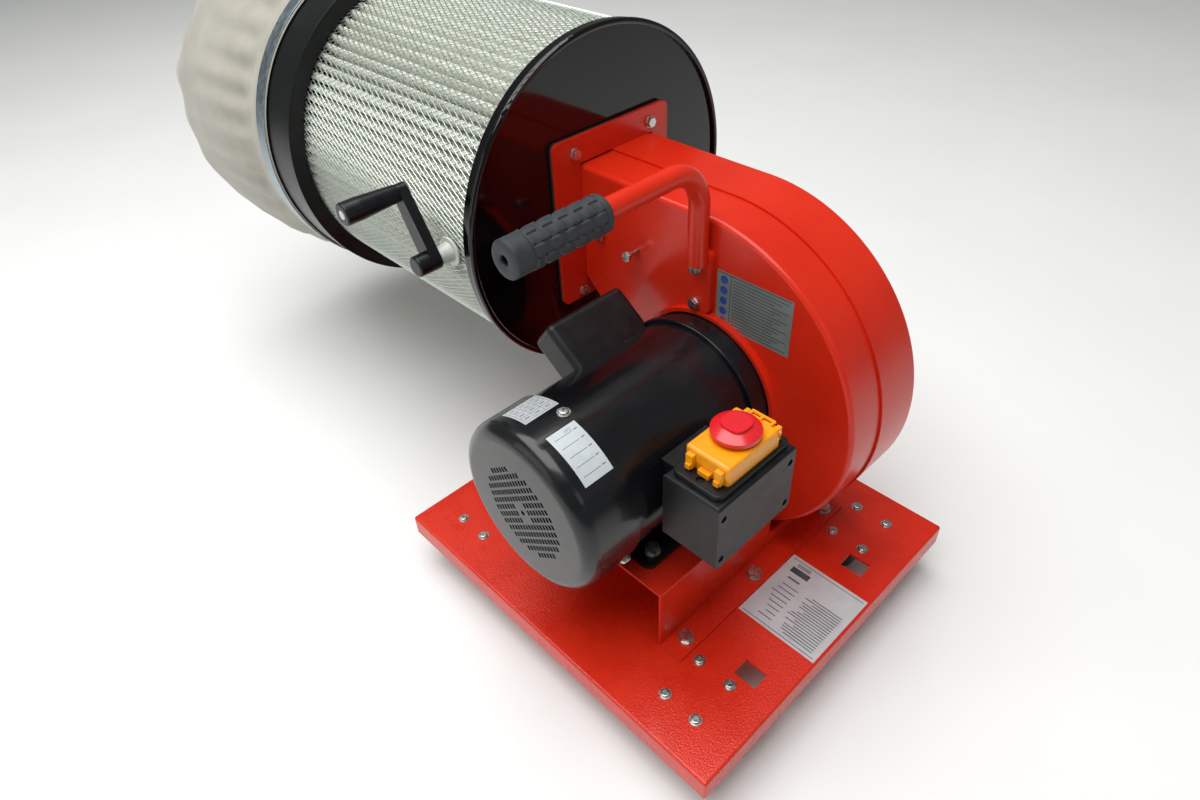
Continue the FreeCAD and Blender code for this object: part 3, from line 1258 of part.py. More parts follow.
def toothed(blank, centre, axis, phase_deg=0.0):
    """Cut straight bevel teeth into a conical blank whose wide end is at the centre."""
    centre = Vec(*centre)
    tools = []
    for i in range(bevel_teeth):
        gap = Part.makeCone(2.4, 0.8, bevel_w * 1.6, Vec(0, 0, -1), Z_AXIS)
        gap.translate(Vec(bevel_r, 0, 0))
        gap.rotate(Vec(bevel_r, 0, 0), Y_AXIS, -45)
        gap.rotate(Vec(0, 0, 0), Z_AXIS, 360.0 * i / bevel_teeth + phase_deg)
        gap.Placement = FreeCAD.Placement(centre, FreeCAD.Rotation(Z_AXIS, axis)).multiply(gap.Placement)
        tools.append(gap)
    return cut(blank, tools)


def make_agitator():
    """Shaft along the drum with flaps that wipe the pleats as the crank turns."""
    y0 = crank_y + bevel_r
    gear_y = y0 + bevel_gap
    gear = Part.makeCone(bevel_r - bevel_gap, bevel_r - bevel_w - bevel_gap, bevel_w,
                         Vec(drum_x, gear_y, drum_z), Vec(0, -1, 0))
    gear = toothed(gear, (drum_x, gear_y, drum_z), Vec(0, -1, 0), 180.0 / bevel_teeth)
    shaft = rod((drum_x, y0 - 2, drum_z), Y_AXIS, mesh_y1 + 14 - y0, agitator_r)
    shaft = fuse([shaft, gear])
    add("agitator_shaft", shaft)
    flaps = []
    for i in range(2):
        flap = block(drum_x + agitator_r - 1, drum_x + flap_r, y0 + 24, mesh_y1 - 16,
                     drum_z - flap_t / 2, drum_z + flap_t / 2)
        window = block(drum_x + 40, drum_x + flap_r - 30, y0 + 44, mesh_y1 - 36,
                       drum_z - flap_t, drum_z + flap_t)
        flap = flap.cut(window)
        flap.rotate(Vec(drum_x, 0, drum_z), Y_AXIS, 90 + 180 * i)
        flaps.append(flap)
    hub = ring((drum_x, y0 + 24, drum_z), Y_AXIS, mesh_y1 - 40 - y0, agitator_r + 4, agitator_r)
    add("agitator_flaps", fuse(flaps + [hub]).cut(shaft))


def make_bag():
    """Dust bag held on the end ring by a strap with an over-centre catch."""
    strap_y0 = mesh_y1 + end_ring_w
    neck_in = end_ring_r + 0.3
    neck_out = neck_in + bag_wall
    strap_in = neck_out + 0.2
    strap = drum_ring(strap_y0, band_w, strap_in + band_t, strap_in)
    middle_y = strap_y0 + band_w / 2
    pin_x = drum_x + strap_in + band_t + latch_stand
    pin_z = drum_z + 15.0
    lugs = [extrude_wire([(pin_x - latch_stand - 2, y, pin_z - 7), (pin_x + 4, y, pin_z - 5),
                          (pin_x + 4, y, pin_z + 5), (pin_x - latch_stand - 2, y, pin_z + 7)],
                         Vec(0, 2, 0)) for y in (middle_y - 9, middle_y + 7)]
    pin = rod((pin_x, middle_y - 9, pin_z), Y_AXIS, 18, latch_pin_r)
    lugs = [lug.cut(rod((drum_x, strap_y0 - 5, drum_z), Y_AXIS, band_w + 10, strap_in + band_t / 2))
            for lug in lugs]
    add("bag_strap", fuse([strap, pin] + lugs))
    knuckle = rod((pin_x, middle_y - 6.5, pin_z), Y_AXIS, 13, latch_pin_r + 2)
    lever = block(pin_x - 1.5, pin_x + 1.5, middle_y - 6, middle_y + 6, pin_z - latch_length, pin_z)
    tip = block(pin_x, pin_x + 7, middle_y - 5, middle_y + 5, pin_z - latch_length + 3,
                pin_z - latch_length + 6)
    pin_room = rod((pin_x, middle_y - 10, pin_z), Y_AXIS, 20, latch_pin_r + running)
    add("strap_latch", cut(fuse([knuckle, lever, tip]), [pin_room]))
    y_end = strap_y0 + bag_length
    wide = neck_out + bag_flare
    outer = lathe_y([(strap_y0 - 3, neck_out), (strap_y0 + band_w + 4, neck_out),
                     (strap_y0 + 90, wide), (y_end - 50, wide), (y_end, wide - 60)])
    inner = lathe_y([(strap_y0 - 4, neck_in), (strap_y0 + band_w + 4 + bag_wall, neck_in),
                     (strap_y0 + 90, wide - bag_wall), (y_end - 50 - bag_wall, wide - bag_wall),
                     (y_end - bag_wall, wide - 60 - bag_wall)])
    add("dust_bag", outer.cut(inner))


def lathe_y(profile):
    """Solid of revolution about the drum's axis from (y, radius) points."""
    points = [Vec(drum_x + r, y, drum_z) for y, r in profile]
    closed = [Vec(drum_x, profile[0][0], drum_z)] + points + [Vec(drum_x, profile[-1][0], drum_z)]
    face = Part.Face(Part.makePolygon(closed + [closed[0]]))
    return face.revolve(Vec(drum_x, 0, drum_z), Y_AXIS, 360)


def make_all():
    make_base_plate()
    make_castors()
    make_motor_bracket()
    make_frame_bolts()
    make_motor_foot()
    make_motor_shell()
    make_fan_cover()
    make_motor_inside()
    make_volute()
    make_outlet_joint()
    make_housing_bolts()
    make_inlet()
    make_impeller()
    make_handle()
    make_capacitor()
    make_switch_box()
    make_switch_unit()
    make_drum()
    make_crank()
    make_agitator()
    make_bag()


def centre_on_footprint():
    """Move everything so that the footprint's middle on the floor is the origin."""
    whole = Part.makeCompound(list(parts.values()))
    box = whole.optimalBoundingBox(False, False)
    shift = Vec(-(box.XMin + box.XMax) / 2, -(box.YMin + box.YMax) / 2, -box.ZMin)
    for shape in parts.values():
        shape.translate(shift)
    return shift, box


make_all()
offset, extent = centre_on_footprint()
os.makedirs("parts", exist_ok=True)
for node, shape in parts.items():
    if not shape.isValid():
        raise ValueError("invalid solid in " + node)
    shape.exportStep("parts/" + node + ".step")
print("nodes", len(parts), "shift", tuple(round(v, 3) for v in offset))
print("size", round(extent.XLength, 1), round(extent.YLength, 1), round(extent.ZLength, 1))
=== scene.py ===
import math
import random

import bpy
from bpy.props import FloatProperty, FloatVectorProperty, IntProperty, PointerProperty
from mathutils import Matrix, Vector, noise


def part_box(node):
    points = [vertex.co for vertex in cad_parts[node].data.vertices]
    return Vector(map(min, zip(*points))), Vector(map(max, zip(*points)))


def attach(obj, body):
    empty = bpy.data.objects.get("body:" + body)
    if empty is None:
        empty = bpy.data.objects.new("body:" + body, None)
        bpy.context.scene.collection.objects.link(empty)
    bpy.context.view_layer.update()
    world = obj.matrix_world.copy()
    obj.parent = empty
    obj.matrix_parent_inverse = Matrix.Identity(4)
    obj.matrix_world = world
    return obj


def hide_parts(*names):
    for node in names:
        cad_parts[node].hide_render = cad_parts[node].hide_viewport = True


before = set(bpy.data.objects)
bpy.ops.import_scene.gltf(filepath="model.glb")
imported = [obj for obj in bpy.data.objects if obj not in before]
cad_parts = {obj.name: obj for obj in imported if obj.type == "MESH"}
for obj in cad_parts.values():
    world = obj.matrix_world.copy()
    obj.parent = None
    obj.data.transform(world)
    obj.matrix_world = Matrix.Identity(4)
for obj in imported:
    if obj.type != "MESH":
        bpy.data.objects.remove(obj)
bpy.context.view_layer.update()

bl_info = {
    "name": "Dust collector finishes",
    "version": (1, 0, 0),
    "blender": (4, 5, 0),
    "location": "View3D > Sidebar > Dust collector",
    "description": "Filter, bag, grip, labels, paint and studio around a packed dust collector",
    "category": "Object",
}

MM = 0.001
BODY = "machine"


def middle(node):
    low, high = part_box(node)
    return (low + high) / 2


# ---- places read from the frame ----------------------------------------------

DRUM = middle("drum_mesh")
MOTOR = middle("motor_body")
MESH_LOW, MESH_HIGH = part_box("drum_mesh")
MESH_R = (MESH_HIGH.x - MESH_LOW.x) / 2
PLEAT_LOW, PLEAT_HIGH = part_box("pleated_filter")
PLEAT_R = (PLEAT_HIGH.x - PLEAT_LOW.x) / 2
BAG_LOW, BAG_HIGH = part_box("dust_bag")
BAG_R = (BAG_HIGH.x - BAG_LOW.x) / 2
STRAP_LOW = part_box("bag_strap")[0]
GRIP_LOW, GRIP_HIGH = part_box("handle_grip")
GRIP = middle("handle_grip")
COVER_LOW, COVER_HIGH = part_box("fan_cover")
COVER_R = (COVER_HIGH.y - COVER_LOW.y) / 2
BUSHING = middle("crank_bushing")
PLATE_LOW, PLATE_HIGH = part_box("base_plate")
BLOWER_WALL_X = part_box("front_end_bell")[1].x
PLATE_TOP = PLATE_HIGH.z
LID_ARM_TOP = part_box("switch_frame")[1].z


# ---- settings a user would change --------------------------------------------

def linear(code):
    """An sRGB hex value as linear red, green and blue."""
    parts = [int(code[i:i + 2], 16) / 255 for i in (1, 3, 5)]
    return tuple(v / 12.92 if v <= 0.04045 else ((v + 0.055) / 1.055) ** 2.4 for v in parts)


def colour(name, description, code):
    return FloatVectorProperty(name=name, description=description, default=linear(code),
                               subtype="COLOR", min=0.0, max=1.0)


class DC_ViewSettings(bpy.types.PropertyGroup):
    lens: FloatProperty(name="Lens", description="Focal length of the camera", default=24.56,
                        unit="CAMERA")
    shift: FloatProperty(name="Vertical shift", description="Camera shift in sensor widths",
                         default=-0.0087)
    place: FloatVectorProperty(name="Place", description="Camera position", unit="LENGTH",
                               default=(-0.53115, -0.7439, 0.7947), subtype="TRANSLATION")
    right: FloatVectorProperty(name="Right", description="Direction to the right in the view",
                               default=(0.71692, -0.69582, -0.04307), subtype="DIRECTION")
    forward: FloatVectorProperty(name="Forward", description="Direction the camera looks along",
                                 default=(0.51766, 0.57271, -0.63563), subtype="DIRECTION")


class DC_PaintSettings(bpy.types.PropertyGroup):
    red: colour("Red", "Powder coat of the plate, blower and handle", "#DA2C12")
    red_deep: colour("Deep red", "Darker patches of the powder coat", "#CB240E")
    black: colour("Black", "Enamel of the motor and filter ends", "#0B0B0D")
    yellow: colour("Yellow", "Moulding of the switch frame and lid", "#FFA50A")
    stop: colour("Stop red", "Moulding of the stop mushroom", "#E0202A")
    bag: colour("Bag", "Cloth of the dust bag", "#A9A598")
    edge_radius: FloatProperty(name="Edge radius", description="Rounding of a painted sheet's edges",
                               default=0.5 * MM, unit="LENGTH", min=0.0)


class DC_FilterSettings(bpy.types.PropertyGroup):
    long_way: FloatProperty(name="Long way", description="Length of a diamond, along the drum",
                            default=12.0 * MM, unit="LENGTH", min=0.002)
    short_way: FloatProperty(name="Short way", description="Width of a diamond, round the drum",
                             default=6.0 * MM, unit="LENGTH", min=0.001)
    strand: FloatProperty(name="Strand", description="Width of a strand of the expanded metal",
                          default=0.8 * MM, unit="LENGTH", min=0.0002)
    metal: FloatProperty(name="Metal", description="Thickness of the expanded sheet",
                         default=0.6 * MM, unit="LENGTH", min=0.0002)
    pleats: IntProperty(name="Pleats", description="Folds round the cartridge", default=90, min=20)
    pleat_depth: FloatProperty(name="Pleat depth", description="Radial depth of a fold",
                               default=26.0 * MM, unit="LENGTH", min=0.004)


class DC_BagSettings(bpy.types.PropertyGroup):
    gathers: IntProperty(name="Gathers", description="Gathers where the strap holds the cloth",
                         default=34, min=6)
    gather_depth: FloatProperty(name="Gather depth", description="Depth of a gather beside the strap",
                                default=3.4 * MM, unit="LENGTH", min=0.0)
    sag: FloatProperty(name="Sag", description="How far the bag's far end hangs down",
                       default=16.0 * MM, unit="LENGTH", min=0.0)


class DC_GripSettings(bpy.types.PropertyGroup):
    rows: IntProperty(name="Rows", description="Rows of blocks round the grip", default=10, min=4)
    relief: FloatProperty(name="Relief", description="Height of a block over its groove",
                          default=1.5 * MM, unit="LENGTH", min=0.0)


class DC_StudioSettings(bpy.types.PropertyGroup):
    key: FloatProperty(name="Key", description="Power of the large lamp above", default=122.0,
                       unit="POWER", min=0.0)
    fill: FloatProperty(name="Fill", description="Power of the lamp at the left", default=7.0,
                        unit="POWER", min=0.0)
    sky: FloatProperty(name="Room light", description="Strength of the even light all round",
                       default=0.2, min=0.0)
    floor: colour("Floor", "Paper under the machine", "#F4F4F2")


# ---- materials ----------------------------------------------------------------

def add(tree, kind, inputs=None, **settings):
    """Add one node with its settings, its input values and its links."""
    made = tree.nodes.new(kind)
    for name, value in settings.items():
        setattr(made, name, value)
    for name, value in (inputs or {}).items():
        if isinstance(value, bpy.types.NodeSocket):
            tree.links.new(value, made.inputs[name])
        else:
            made.inputs[name].default_value = value
    return made


def finish(name, colours, rough, patch_mm, grain_mm, depth_mm, pattern="grain", stretch=(1, 1, 1),
           dust=0.0, **shader):
    """A procedural finish. Two colours lie in soft patches patch_mm across and the
    roughness follows them; the relief has grains grain_mm across and depth_mm high.
    Stretch lengthens the grain along an axis. Shader holds constant socket values."""
    material = bpy.data.materials.new(name)
    material.use_nodes = True
    tree = material.node_tree
    tree.nodes.clear()
    place = add(tree, "ShaderNodeTexCoord").outputs["Object"]
    along = add(tree, "ShaderNodeMapping", {"Vector": place, "Scale": stretch}).outputs["Vector"]
    patch = add(tree, "ShaderNodeTexNoise", {"Vector": along, "Scale": 1 / (patch_mm * MM),
                                             "Detail": 4.0, "Roughness": 0.6}).outputs["Fac"]
    scale = 1 / (grain_mm * MM)
    if pattern == "hammer":
        relief = add(tree, "ShaderNodeTexVoronoi", {"Vector": along, "Scale": scale, "Smoothness": 0.6},
                     feature="SMOOTH_F1").outputs["Distance"]
    elif pattern == "spangle":
        relief = add(tree, "ShaderNodeTexVoronoi", {"Vector": along, "Scale": scale}).outputs["Color"]
        patch = add(tree, "ShaderNodeSeparateColor", {"Color": relief}).outputs["Red"]
    elif pattern == "weave":
        threads = []
        for axis in ("X", "Z"):
            threads.append(add(tree, "ShaderNodeTexWave", {"Vector": along, "Scale": scale / 20,
                                                           "Distortion": 0.35, "Detail": 1.0},
                               bands_direction=axis).outputs["Fac"])
        relief = add(tree, "ShaderNodeMath", {0: threads[0], 1: threads[1]},
                     operation="MAXIMUM").outputs["Value"]
    elif pattern == "plates":
        relief = add(tree, "ShaderNodeTexWave", {"Vector": along, "Scale": scale / 20, "Distortion": 0.2},
                     bands_direction="X").outputs["Fac"]
    else:
        relief = add(tree, "ShaderNodeTexNoise",
                     {"Vector": along, "Scale": scale, "Detail": 2.0}).outputs["Fac"]
    share = add(tree, "ShaderNodeMapRange", {"Value": patch, "From Min": 0.32, "From Max": 0.68})
    base = add(tree, "ShaderNodeMix", {0: share.outputs["Result"], 6: (*colours[0], 1.0),
                                       7: (*colours[1], 1.0)}, data_type="RGBA").outputs[2]
    shine = add(tree, "ShaderNodeMapRange", {"Value": patch, "From Min": 0.3, "From Max": 0.7,
                                             "To Min": rough[0], "To Max": rough[1]}).outputs["Result"]
    if dust:
        specks = add(tree, "ShaderNodeTexVoronoi", {"Vector": place, "Scale": 1 / (11 * MM),
                                                    "Randomness": 1.0})
        near = add(tree, "ShaderNodeMath", {0: specks.outputs["Distance"], 1: dust},
                   operation="LESS_THAN").outputs["Value"]
        base = add(tree, "ShaderNodeMix", {0: near, 6: base, 7: (*linear("#8C8A86"), 1.0)},
                   data_type="RGBA").outputs[2]
        shine = add(tree, "ShaderNodeMath", {0: near, 1: 0.35, 2: shine},
                    operation="MULTIPLY_ADD").outputs["Value"]
    bump = add(tree, "ShaderNodeBump", {"Height": relief, "Distance": depth_mm * MM, "Strength": 1.0})
    surface = add(tree, "ShaderNodeBsdfPrincipled", {"Base Color": base, "Roughness": shine,
                                                     "Normal": bump.outputs["Normal"], **shader})
    out = add(tree, "ShaderNodeOutputMaterial", {"Surface": surface.outputs["BSDF"]})
    for step, made in enumerate(tree.nodes):
        made.location = (220 * step, 0)
    out.is_active_output = True
    return material


def make_finishes(paint):
    """Every finish of the machine, by a short name."""
    red, deep, black = tuple(paint.red), tuple(paint.red_deep), tuple(paint.black)
    made = {}
    # Powder coat sprayed thick on plate steel: a pebbled skin about 2 mm across that
    # breaks the highlights up into small specks.
    made["plate_paint"] = finish("textured_powder_coat_red", (deep, red), (0.24, 0.32), 60, 1.9, 0.26,
                                 "hammer", IOR=1.5, **{"Specular IOR Level": 0.4, "Coat Weight": 0.1,
                                                       "Coat Roughness": 0.1})
    # Powder coat sprayed thin on pressed sheet: orange peel under a clear gloss.
    made["sheet_paint"] = finish("gloss_powder_coat_red", (deep, red), (0.26, 0.34), 120, 3.0, 0.022,
                                 IOR=1.5, **{"Specular IOR Level": 0.35, "Coat Weight": 0.1,
                                             "Coat Roughness": 0.08})
    # Gloss enamel baked on spun sheet: near mirror, faint ripple.
    made["gloss_black"] = finish("baked_gloss_enamel_black", (linear("#060406"), linear("#0A0709")),
                                 (0.06, 0.1), 120, 14.0, 0.03, dust=0.012, IOR=1.5,
                                 **{"Specular IOR Level": 0.4, "Coat Weight": 0.15,
                                    "Coat Roughness": 0.03})
    # Sprayed enamel on the rolled barrel: soft streaks along it and a little dust.
    made["motor_black"] = finish("sprayed_enamel_black", (black, linear("#15161A")), (0.2, 0.3), 40, 2.6,
                                 0.03, stretch=(0.4, 1, 1), dust=0.016, IOR=1.5,
                                 **{"Specular IOR Level": 0.4, "Coat Weight": 0.25,
                                    "Coat Roughness": 0.08})
    # Enamel on the end ring: satin, so its two facets read as flat bands of grey.
    made["satin_black"] = finish("satin_enamel_black", (linear("#08090A"), linear("#0E1011")),
                                 (0.26, 0.36), 50, 2.0, 0.02, IOR=1.5,
                                 **{"Specular IOR Level": 0.35})
    # Bright zinc plate on formed steel: cool white metal with faint cloudy passivation.
    made["zinc"] = finish("bright_zinc_plated_steel", (linear("#B9BBBD"), linear("#D5D4CC")),
                          (0.2, 0.36), 6, 0.8, 0.012, Metallic=1.0)
    # Hot-dip galvanised strip: pale blue grey spangle.
    made["strap"] = finish("galvanised_steel_strip", (linear("#9AA8B1"), linear("#A9B6BE")),
                           (0.34, 0.42), 12, 5.0, 0.004, "spangle", Metallic=1.0)
    # Expanded sheet, slit and stretched: clean bright strands with torn dull edges.
    made["expanded"] = finish("expanded_aluminium", (linear("#B3B9B2"), linear("#CED4CC")),
                              (0.3, 0.44), 5, 0.7, 0.02, Metallic=1.0)
    # Thermo-bonded polyester felt: matt, fibrous, off-white.
    made["felt"] = finish("spunbond_polyester_felt", (linear("#E6E8DC"), linear("#F3F4EA")),
                          (0.82, 0.95), 24, 1.1, 0.12, IOR=1.45,
                          **{"Sheen Weight": 0.3, "Subsurface Weight": 0.15, "Subsurface Scale": 0.002})
    # Black oxide on small screws: nearly black with a dull metal glint.
    made["black_oxide"] = finish("black_oxide_steel", (linear("#1B1B1C"), linear("#2A2A2B")), (0.35, 0.5), 3,
                                 0.5, 0.01, Metallic=0.7)
    # Turned steel with tool marks round it.
    made["steel"] = finish("turned_steel", (linear("#8A8D90"), linear("#A5A7A8")), (0.24, 0.4), 8, 0.5, 0.01,
                           stretch=(6, 1, 1), Metallic=1.0)
    # Die-cast aluminium: grey, slightly grainy skin.
    made["cast"] = finish("die_cast_aluminium", (linear("#7D8082"), linear("#9A9C9D")), (0.42, 0.58), 12, 0.9,
                          0.05, Metallic=1.0)
    # Stacked electrical steel: fine plates edge on.
    made["plates"] = finish("stacked_silicon_steel", (linear("#4A4C50"), linear("#66686B")), (0.4, 0.55), 10,
                            1.0, 0.08, "plates", Metallic=1.0)
    # Enamelled copper wire under varnish.
    made["copper"] = finish("varnished_copper_wire", (linear("#7A3A1C"), linear("#A9582E")), (0.25, 0.4), 5,
                            1.2, 0.2, stretch=(1, 0.3, 0.3), Metallic=0.8)
    # Moulded rubber of the grip: dull grey black with a chalky bloom.
    made["rubber"] = finish("moulded_rubber_grip", (linear("#26292D"), linear("#33373B")), (0.55, 0.72), 7, 0.6,
                            0.05, IOR=1.52)
    # Moulded rubber sheet of the gasket.
    made["gasket"] = finish("rubber_sheet", (linear("#141414"), linear("#1E1E1F")), (0.6, 0.75), 6, 0.7, 0.03,
                            IOR=1.52)
    # Thermoplastic rubber tyre: mid grey, scuffed.
    made["tread"] = finish("thermoplastic_rubber_tyre", (linear("#3A3B3D"), linear("#4B4C4E")), (0.5, 0.7), 9,
                           0.8, 0.05, IOR=1.5)
    # ABS moulded in a spark-eroded tool: even fine sand, soft grey highlights.
    made["abs_black"] = finish("spark_textured_abs_black", (linear("#0C0E10"), linear("#141719")), (0.36, 0.46),
                               14, 0.7, 0.035, IOR=1.53, **{"Specular IOR Level": 0.3})
    # Polished tool: smooth glassy black of the crank and its grip.
    made["nylon_black"] = finish("polished_nylon_black", (linear("#0B0C10"), linear("#121318")), (0.26, 0.38),
                                 12, 1.6, 0.015, IOR=1.53, **{"Specular IOR Level": 0.35})
    # Polycarbonate, moulded in yellow: bright with a little light passing in.
    amber = tuple(paint.yellow)
    made["yellow"] = finish("moulded_polycarbonate_yellow", (amber, tuple(0.9 * c for c in amber)),
                            (0.26, 0.36), 10, 0.9, 0.012, IOR=1.58,
                            **{"Subsurface Weight": 0.2, "Subsurface Scale": 0.0015})
    # Polycarbonate, polished red.
    stop = tuple(paint.stop)
    made["stop"] = finish("moulded_polycarbonate_red", (stop, tuple(0.88 * c for c in stop)),
                          (0.2, 0.3), 12, 1.4, 0.012, IOR=1.58,
                          **{"Subsurface Weight": 0.12, "Subsurface Scale": 0.001})
    # Polycarbonate, moulded green.
    made["start"] = finish("moulded_polycarbonate_green", (linear("#14703A"), linear("#1B8446")),
                           (0.24, 0.34), 10, 1.0, 0.012, IOR=1.58)
    # Natural nylon: milky, lets light a few millimetres in.
    made["nylon"] = finish("natural_nylon", (linear("#BEC3BC"), linear("#D0D4CD")), (0.3, 0.42), 8, 1.0, 0.02,
                           IOR=1.53, **{"Subsurface Weight": 0.55, "Subsurface Scale": 0.004})
    # Drawn aluminium can.
    made["can"] = finish("drawn_aluminium_can", (linear("#B4B6B8"), linear("#C9CACB")), (0.2, 0.32), 14, 0.8,
                         0.008, stretch=(0.2, 1, 1), Metallic=1.0)
    # Woven filter cloth: threads are 0.6 mm apart and are drawn 2.4 mm apart to show.
    bag = tuple(paint.bag)
    made["cloth"] = finish("woven_filter_cloth", (tuple(0.86 * c for c in bag), bag), (0.62, 0.78), 45, 2.4,
                           0.08, "weave", IOR=1.46, **{"Sheen Weight": 0.35, "Sheen Roughness": 0.5})
    # Polyester label film, white.
    made["film_white"] = finish("printed_film_white", (linear("#C2C9CD"), linear("#CFD6D9")), (0.3, 0.4), 20,
                                1.2, 0.008, IOR=1.5)
    # Metallised label film: silver grey that picks up the room.
    made["film_silver"] = finish("metallised_film_silver", (linear("#C4C9CD"), linear("#D2D6D8")),
                                 (0.3, 0.42), 25, 1.0, 0.01, Metallic=0.25)
    # Polyester safety film, grey with a faint green cast.
    made["film_grey"] = finish("printed_film_grey", (linear("#6C7471"), linear("#7A827F")), (0.3, 0.42), 25,
                               1.0, 0.008, IOR=1.5)
    # Screen ink, dark grey.
    made["ink"] = finish("screen_ink_grey", (linear("#34383C"), linear("#484D52")), (0.45, 0.6), 8, 0.8, 0.005)
    # Screen ink, blue.
    made["ink_blue"] = finish("screen_ink_blue", (linear("#1E3C8E"), linear("#2A4AA0")), (0.4, 0.5), 8, 0.8,
                              0.005)
    return made


NODE_FINISH = {
    "plate_paint": ["base_plate", "motor_bracket"],
    "sheet_paint": ["volute_front_shell", "volute_back_shell", "outlet_flange", "inlet_spigot",
                    "carry_handle"],
    "gloss_black": ["drum_end_plate"],
    "satin_black": ["drum_end_ring"],
    "motor_black": ["motor_body", "fan_cover", "front_end_bell", "motor_foot"],
    "cast": ["rear_end_bell"],
    "zinc": ["castor_plates", "castor_screws", "frame_bolts", "housing_bolts", "cover_screws",
             "crank_spindle", "impeller_bolt", "strap_latch",
             "castor_fork_front_left", "castor_fork_front_right", "castor_fork_rear_left",
             "castor_fork_rear_right"],
    "black_oxide": ["switch_screws"],
    "steel": ["motor_bearings", "crank_shaft", "agitator_shaft", "impeller"],
    "plates": ["motor_rotor", "stator_core"],
    "copper": ["stator_windings"],
    "abs_black": ["switch_box", "switch_panel", "switch_saddle", "cable_gland", "capacitor_cover",
                  "cooling_fan"],
    "can": ["run_capacitor"],
    "yellow": ["switch_frame", "switch_lid"],
    "stop": ["stop_mushroom", "stop_button"],
    "start": ["start_button"],
    "gasket": ["flange_gasket", "agitator_flaps"],
    "tread": ["castor_wheel_front_left", "castor_wheel_front_right", "castor_wheel_rear_left",
              "castor_wheel_rear_right"],
    "nylon": ["crank_bushing"],
    "nylon_black": ["crank_arm", "crank_grip"],
    "strap": ["bag_strap"],
    "expanded": ["drum_mesh"],
    "felt": ["pleated_filter"],
    "rubber": ["handle_grip"],
    "cloth": ["dust_bag"],
}
# Edges broken by more or less than the paint's radius, in millimetres.
EDGE_MM = {"drum_end_plate": 1.2, "drum_end_ring": 1.2, "crank_arm": 1.6, "switch_frame": 0.6,
           "switch_lid": 0.6, "switch_box": 0.9, "handle_grip": 0.3, "castor_screws": 0.2,
           "fan_cover": 0.25, "capacitor_cover": 0.7, "base_plate": 0.6, "motor_bracket": 0.9,
           "outlet_flange": 1.2, "strap_latch": 0.4, "inlet_spigot": 0.5, "stop_mushroom": 0.8,
           "crank_bushing": 0.8, "motor_body": 0.4, "front_end_bell": 0.9}
FINISHES = {}


# ---- mesh helpers -------------------------------------------------------------

def new_piece(name, points, faces, finishes, which=None, smooth=True):
    """A mesh piece in row-frame metres with its finishes."""
    mesh = bpy.data.meshes.new(name)
    mesh.from_pydata([tuple(p) for p in points], [], faces)
    mesh.update()
    for finish_name in finishes:
        mesh.materials.append(FINISHES[finish_name])
    if which is not None:
        mesh.polygons.foreach_set("material_index", which)
    mesh.polygons.foreach_set("use_smooth", [smooth] * len(mesh.polygons))
    piece = bpy.data.objects.new(name, mesh)
    bpy.context.scene.collection.objects.link(piece)
    return piece


def grid_faces(rows, columns, wrap):
    """Quads of a grid of points stored row by row; wrap closes each row on itself."""
    faces = []
    for r in range(rows - 1):
        for c in range(columns if wrap else columns - 1):
            after = (c + 1) % columns
            faces.append((r * columns + c, r * columns + after, (r + 1) * columns + after,
                          (r + 1) * columns + c))
    return faces


def smoothstep(low, high, value):
    t = min(max((value - low) / (high - low), 0.0), 1.0)
    return t * t * (3 - 2 * t)


def on_drum(y, radius, angle, drop=0.0):
    """A point about the drum's axis, angle 0 towards +X and 90 degrees upwards."""
    return Vector((DRUM.x + radius * math.cos(angle), y, DRUM.z + radius * math.sin(angle) - drop))


def on_motor(x, radius, angle):
    """A point about the motor's axis, angle 0 towards +Y and 90 degrees upwards."""
    return Vector((x, MOTOR.y + radius * math.cos(angle), MOTOR.z + radius * math.sin(angle)))


# ---- operators ----------------------------------------------------------------

class DC_OT_camera(bpy.types.Operator):
    """Place the camera that looks down on the motor side"""
    bl_idname = "dust_collector.camera"
    bl_label = "Camera"

    def execute(self, context):
        view = context.scene.dc_view
        data = bpy.data.cameras.new("camera")
        data.lens = view.lens
        data.sensor_width = 36.0
        data.shift_y = view.shift
        data.clip_start = 10 * MM
        camera = bpy.data.objects.new("camera", data)
        right = Vector(view.right).normalized()
        back = -Vector(view.forward).normalized()
        up = back.cross(right).normalized()
        right = up.cross(back)
        turn = Matrix((right, up, back)).transposed().to_4x4()
        camera.matrix_world = Matrix.Translation(Vector(view.place)) @ turn
        context.scene.collection.objects.link(camera)
        context.scene.camera = camera
        return {"FINISHED"}


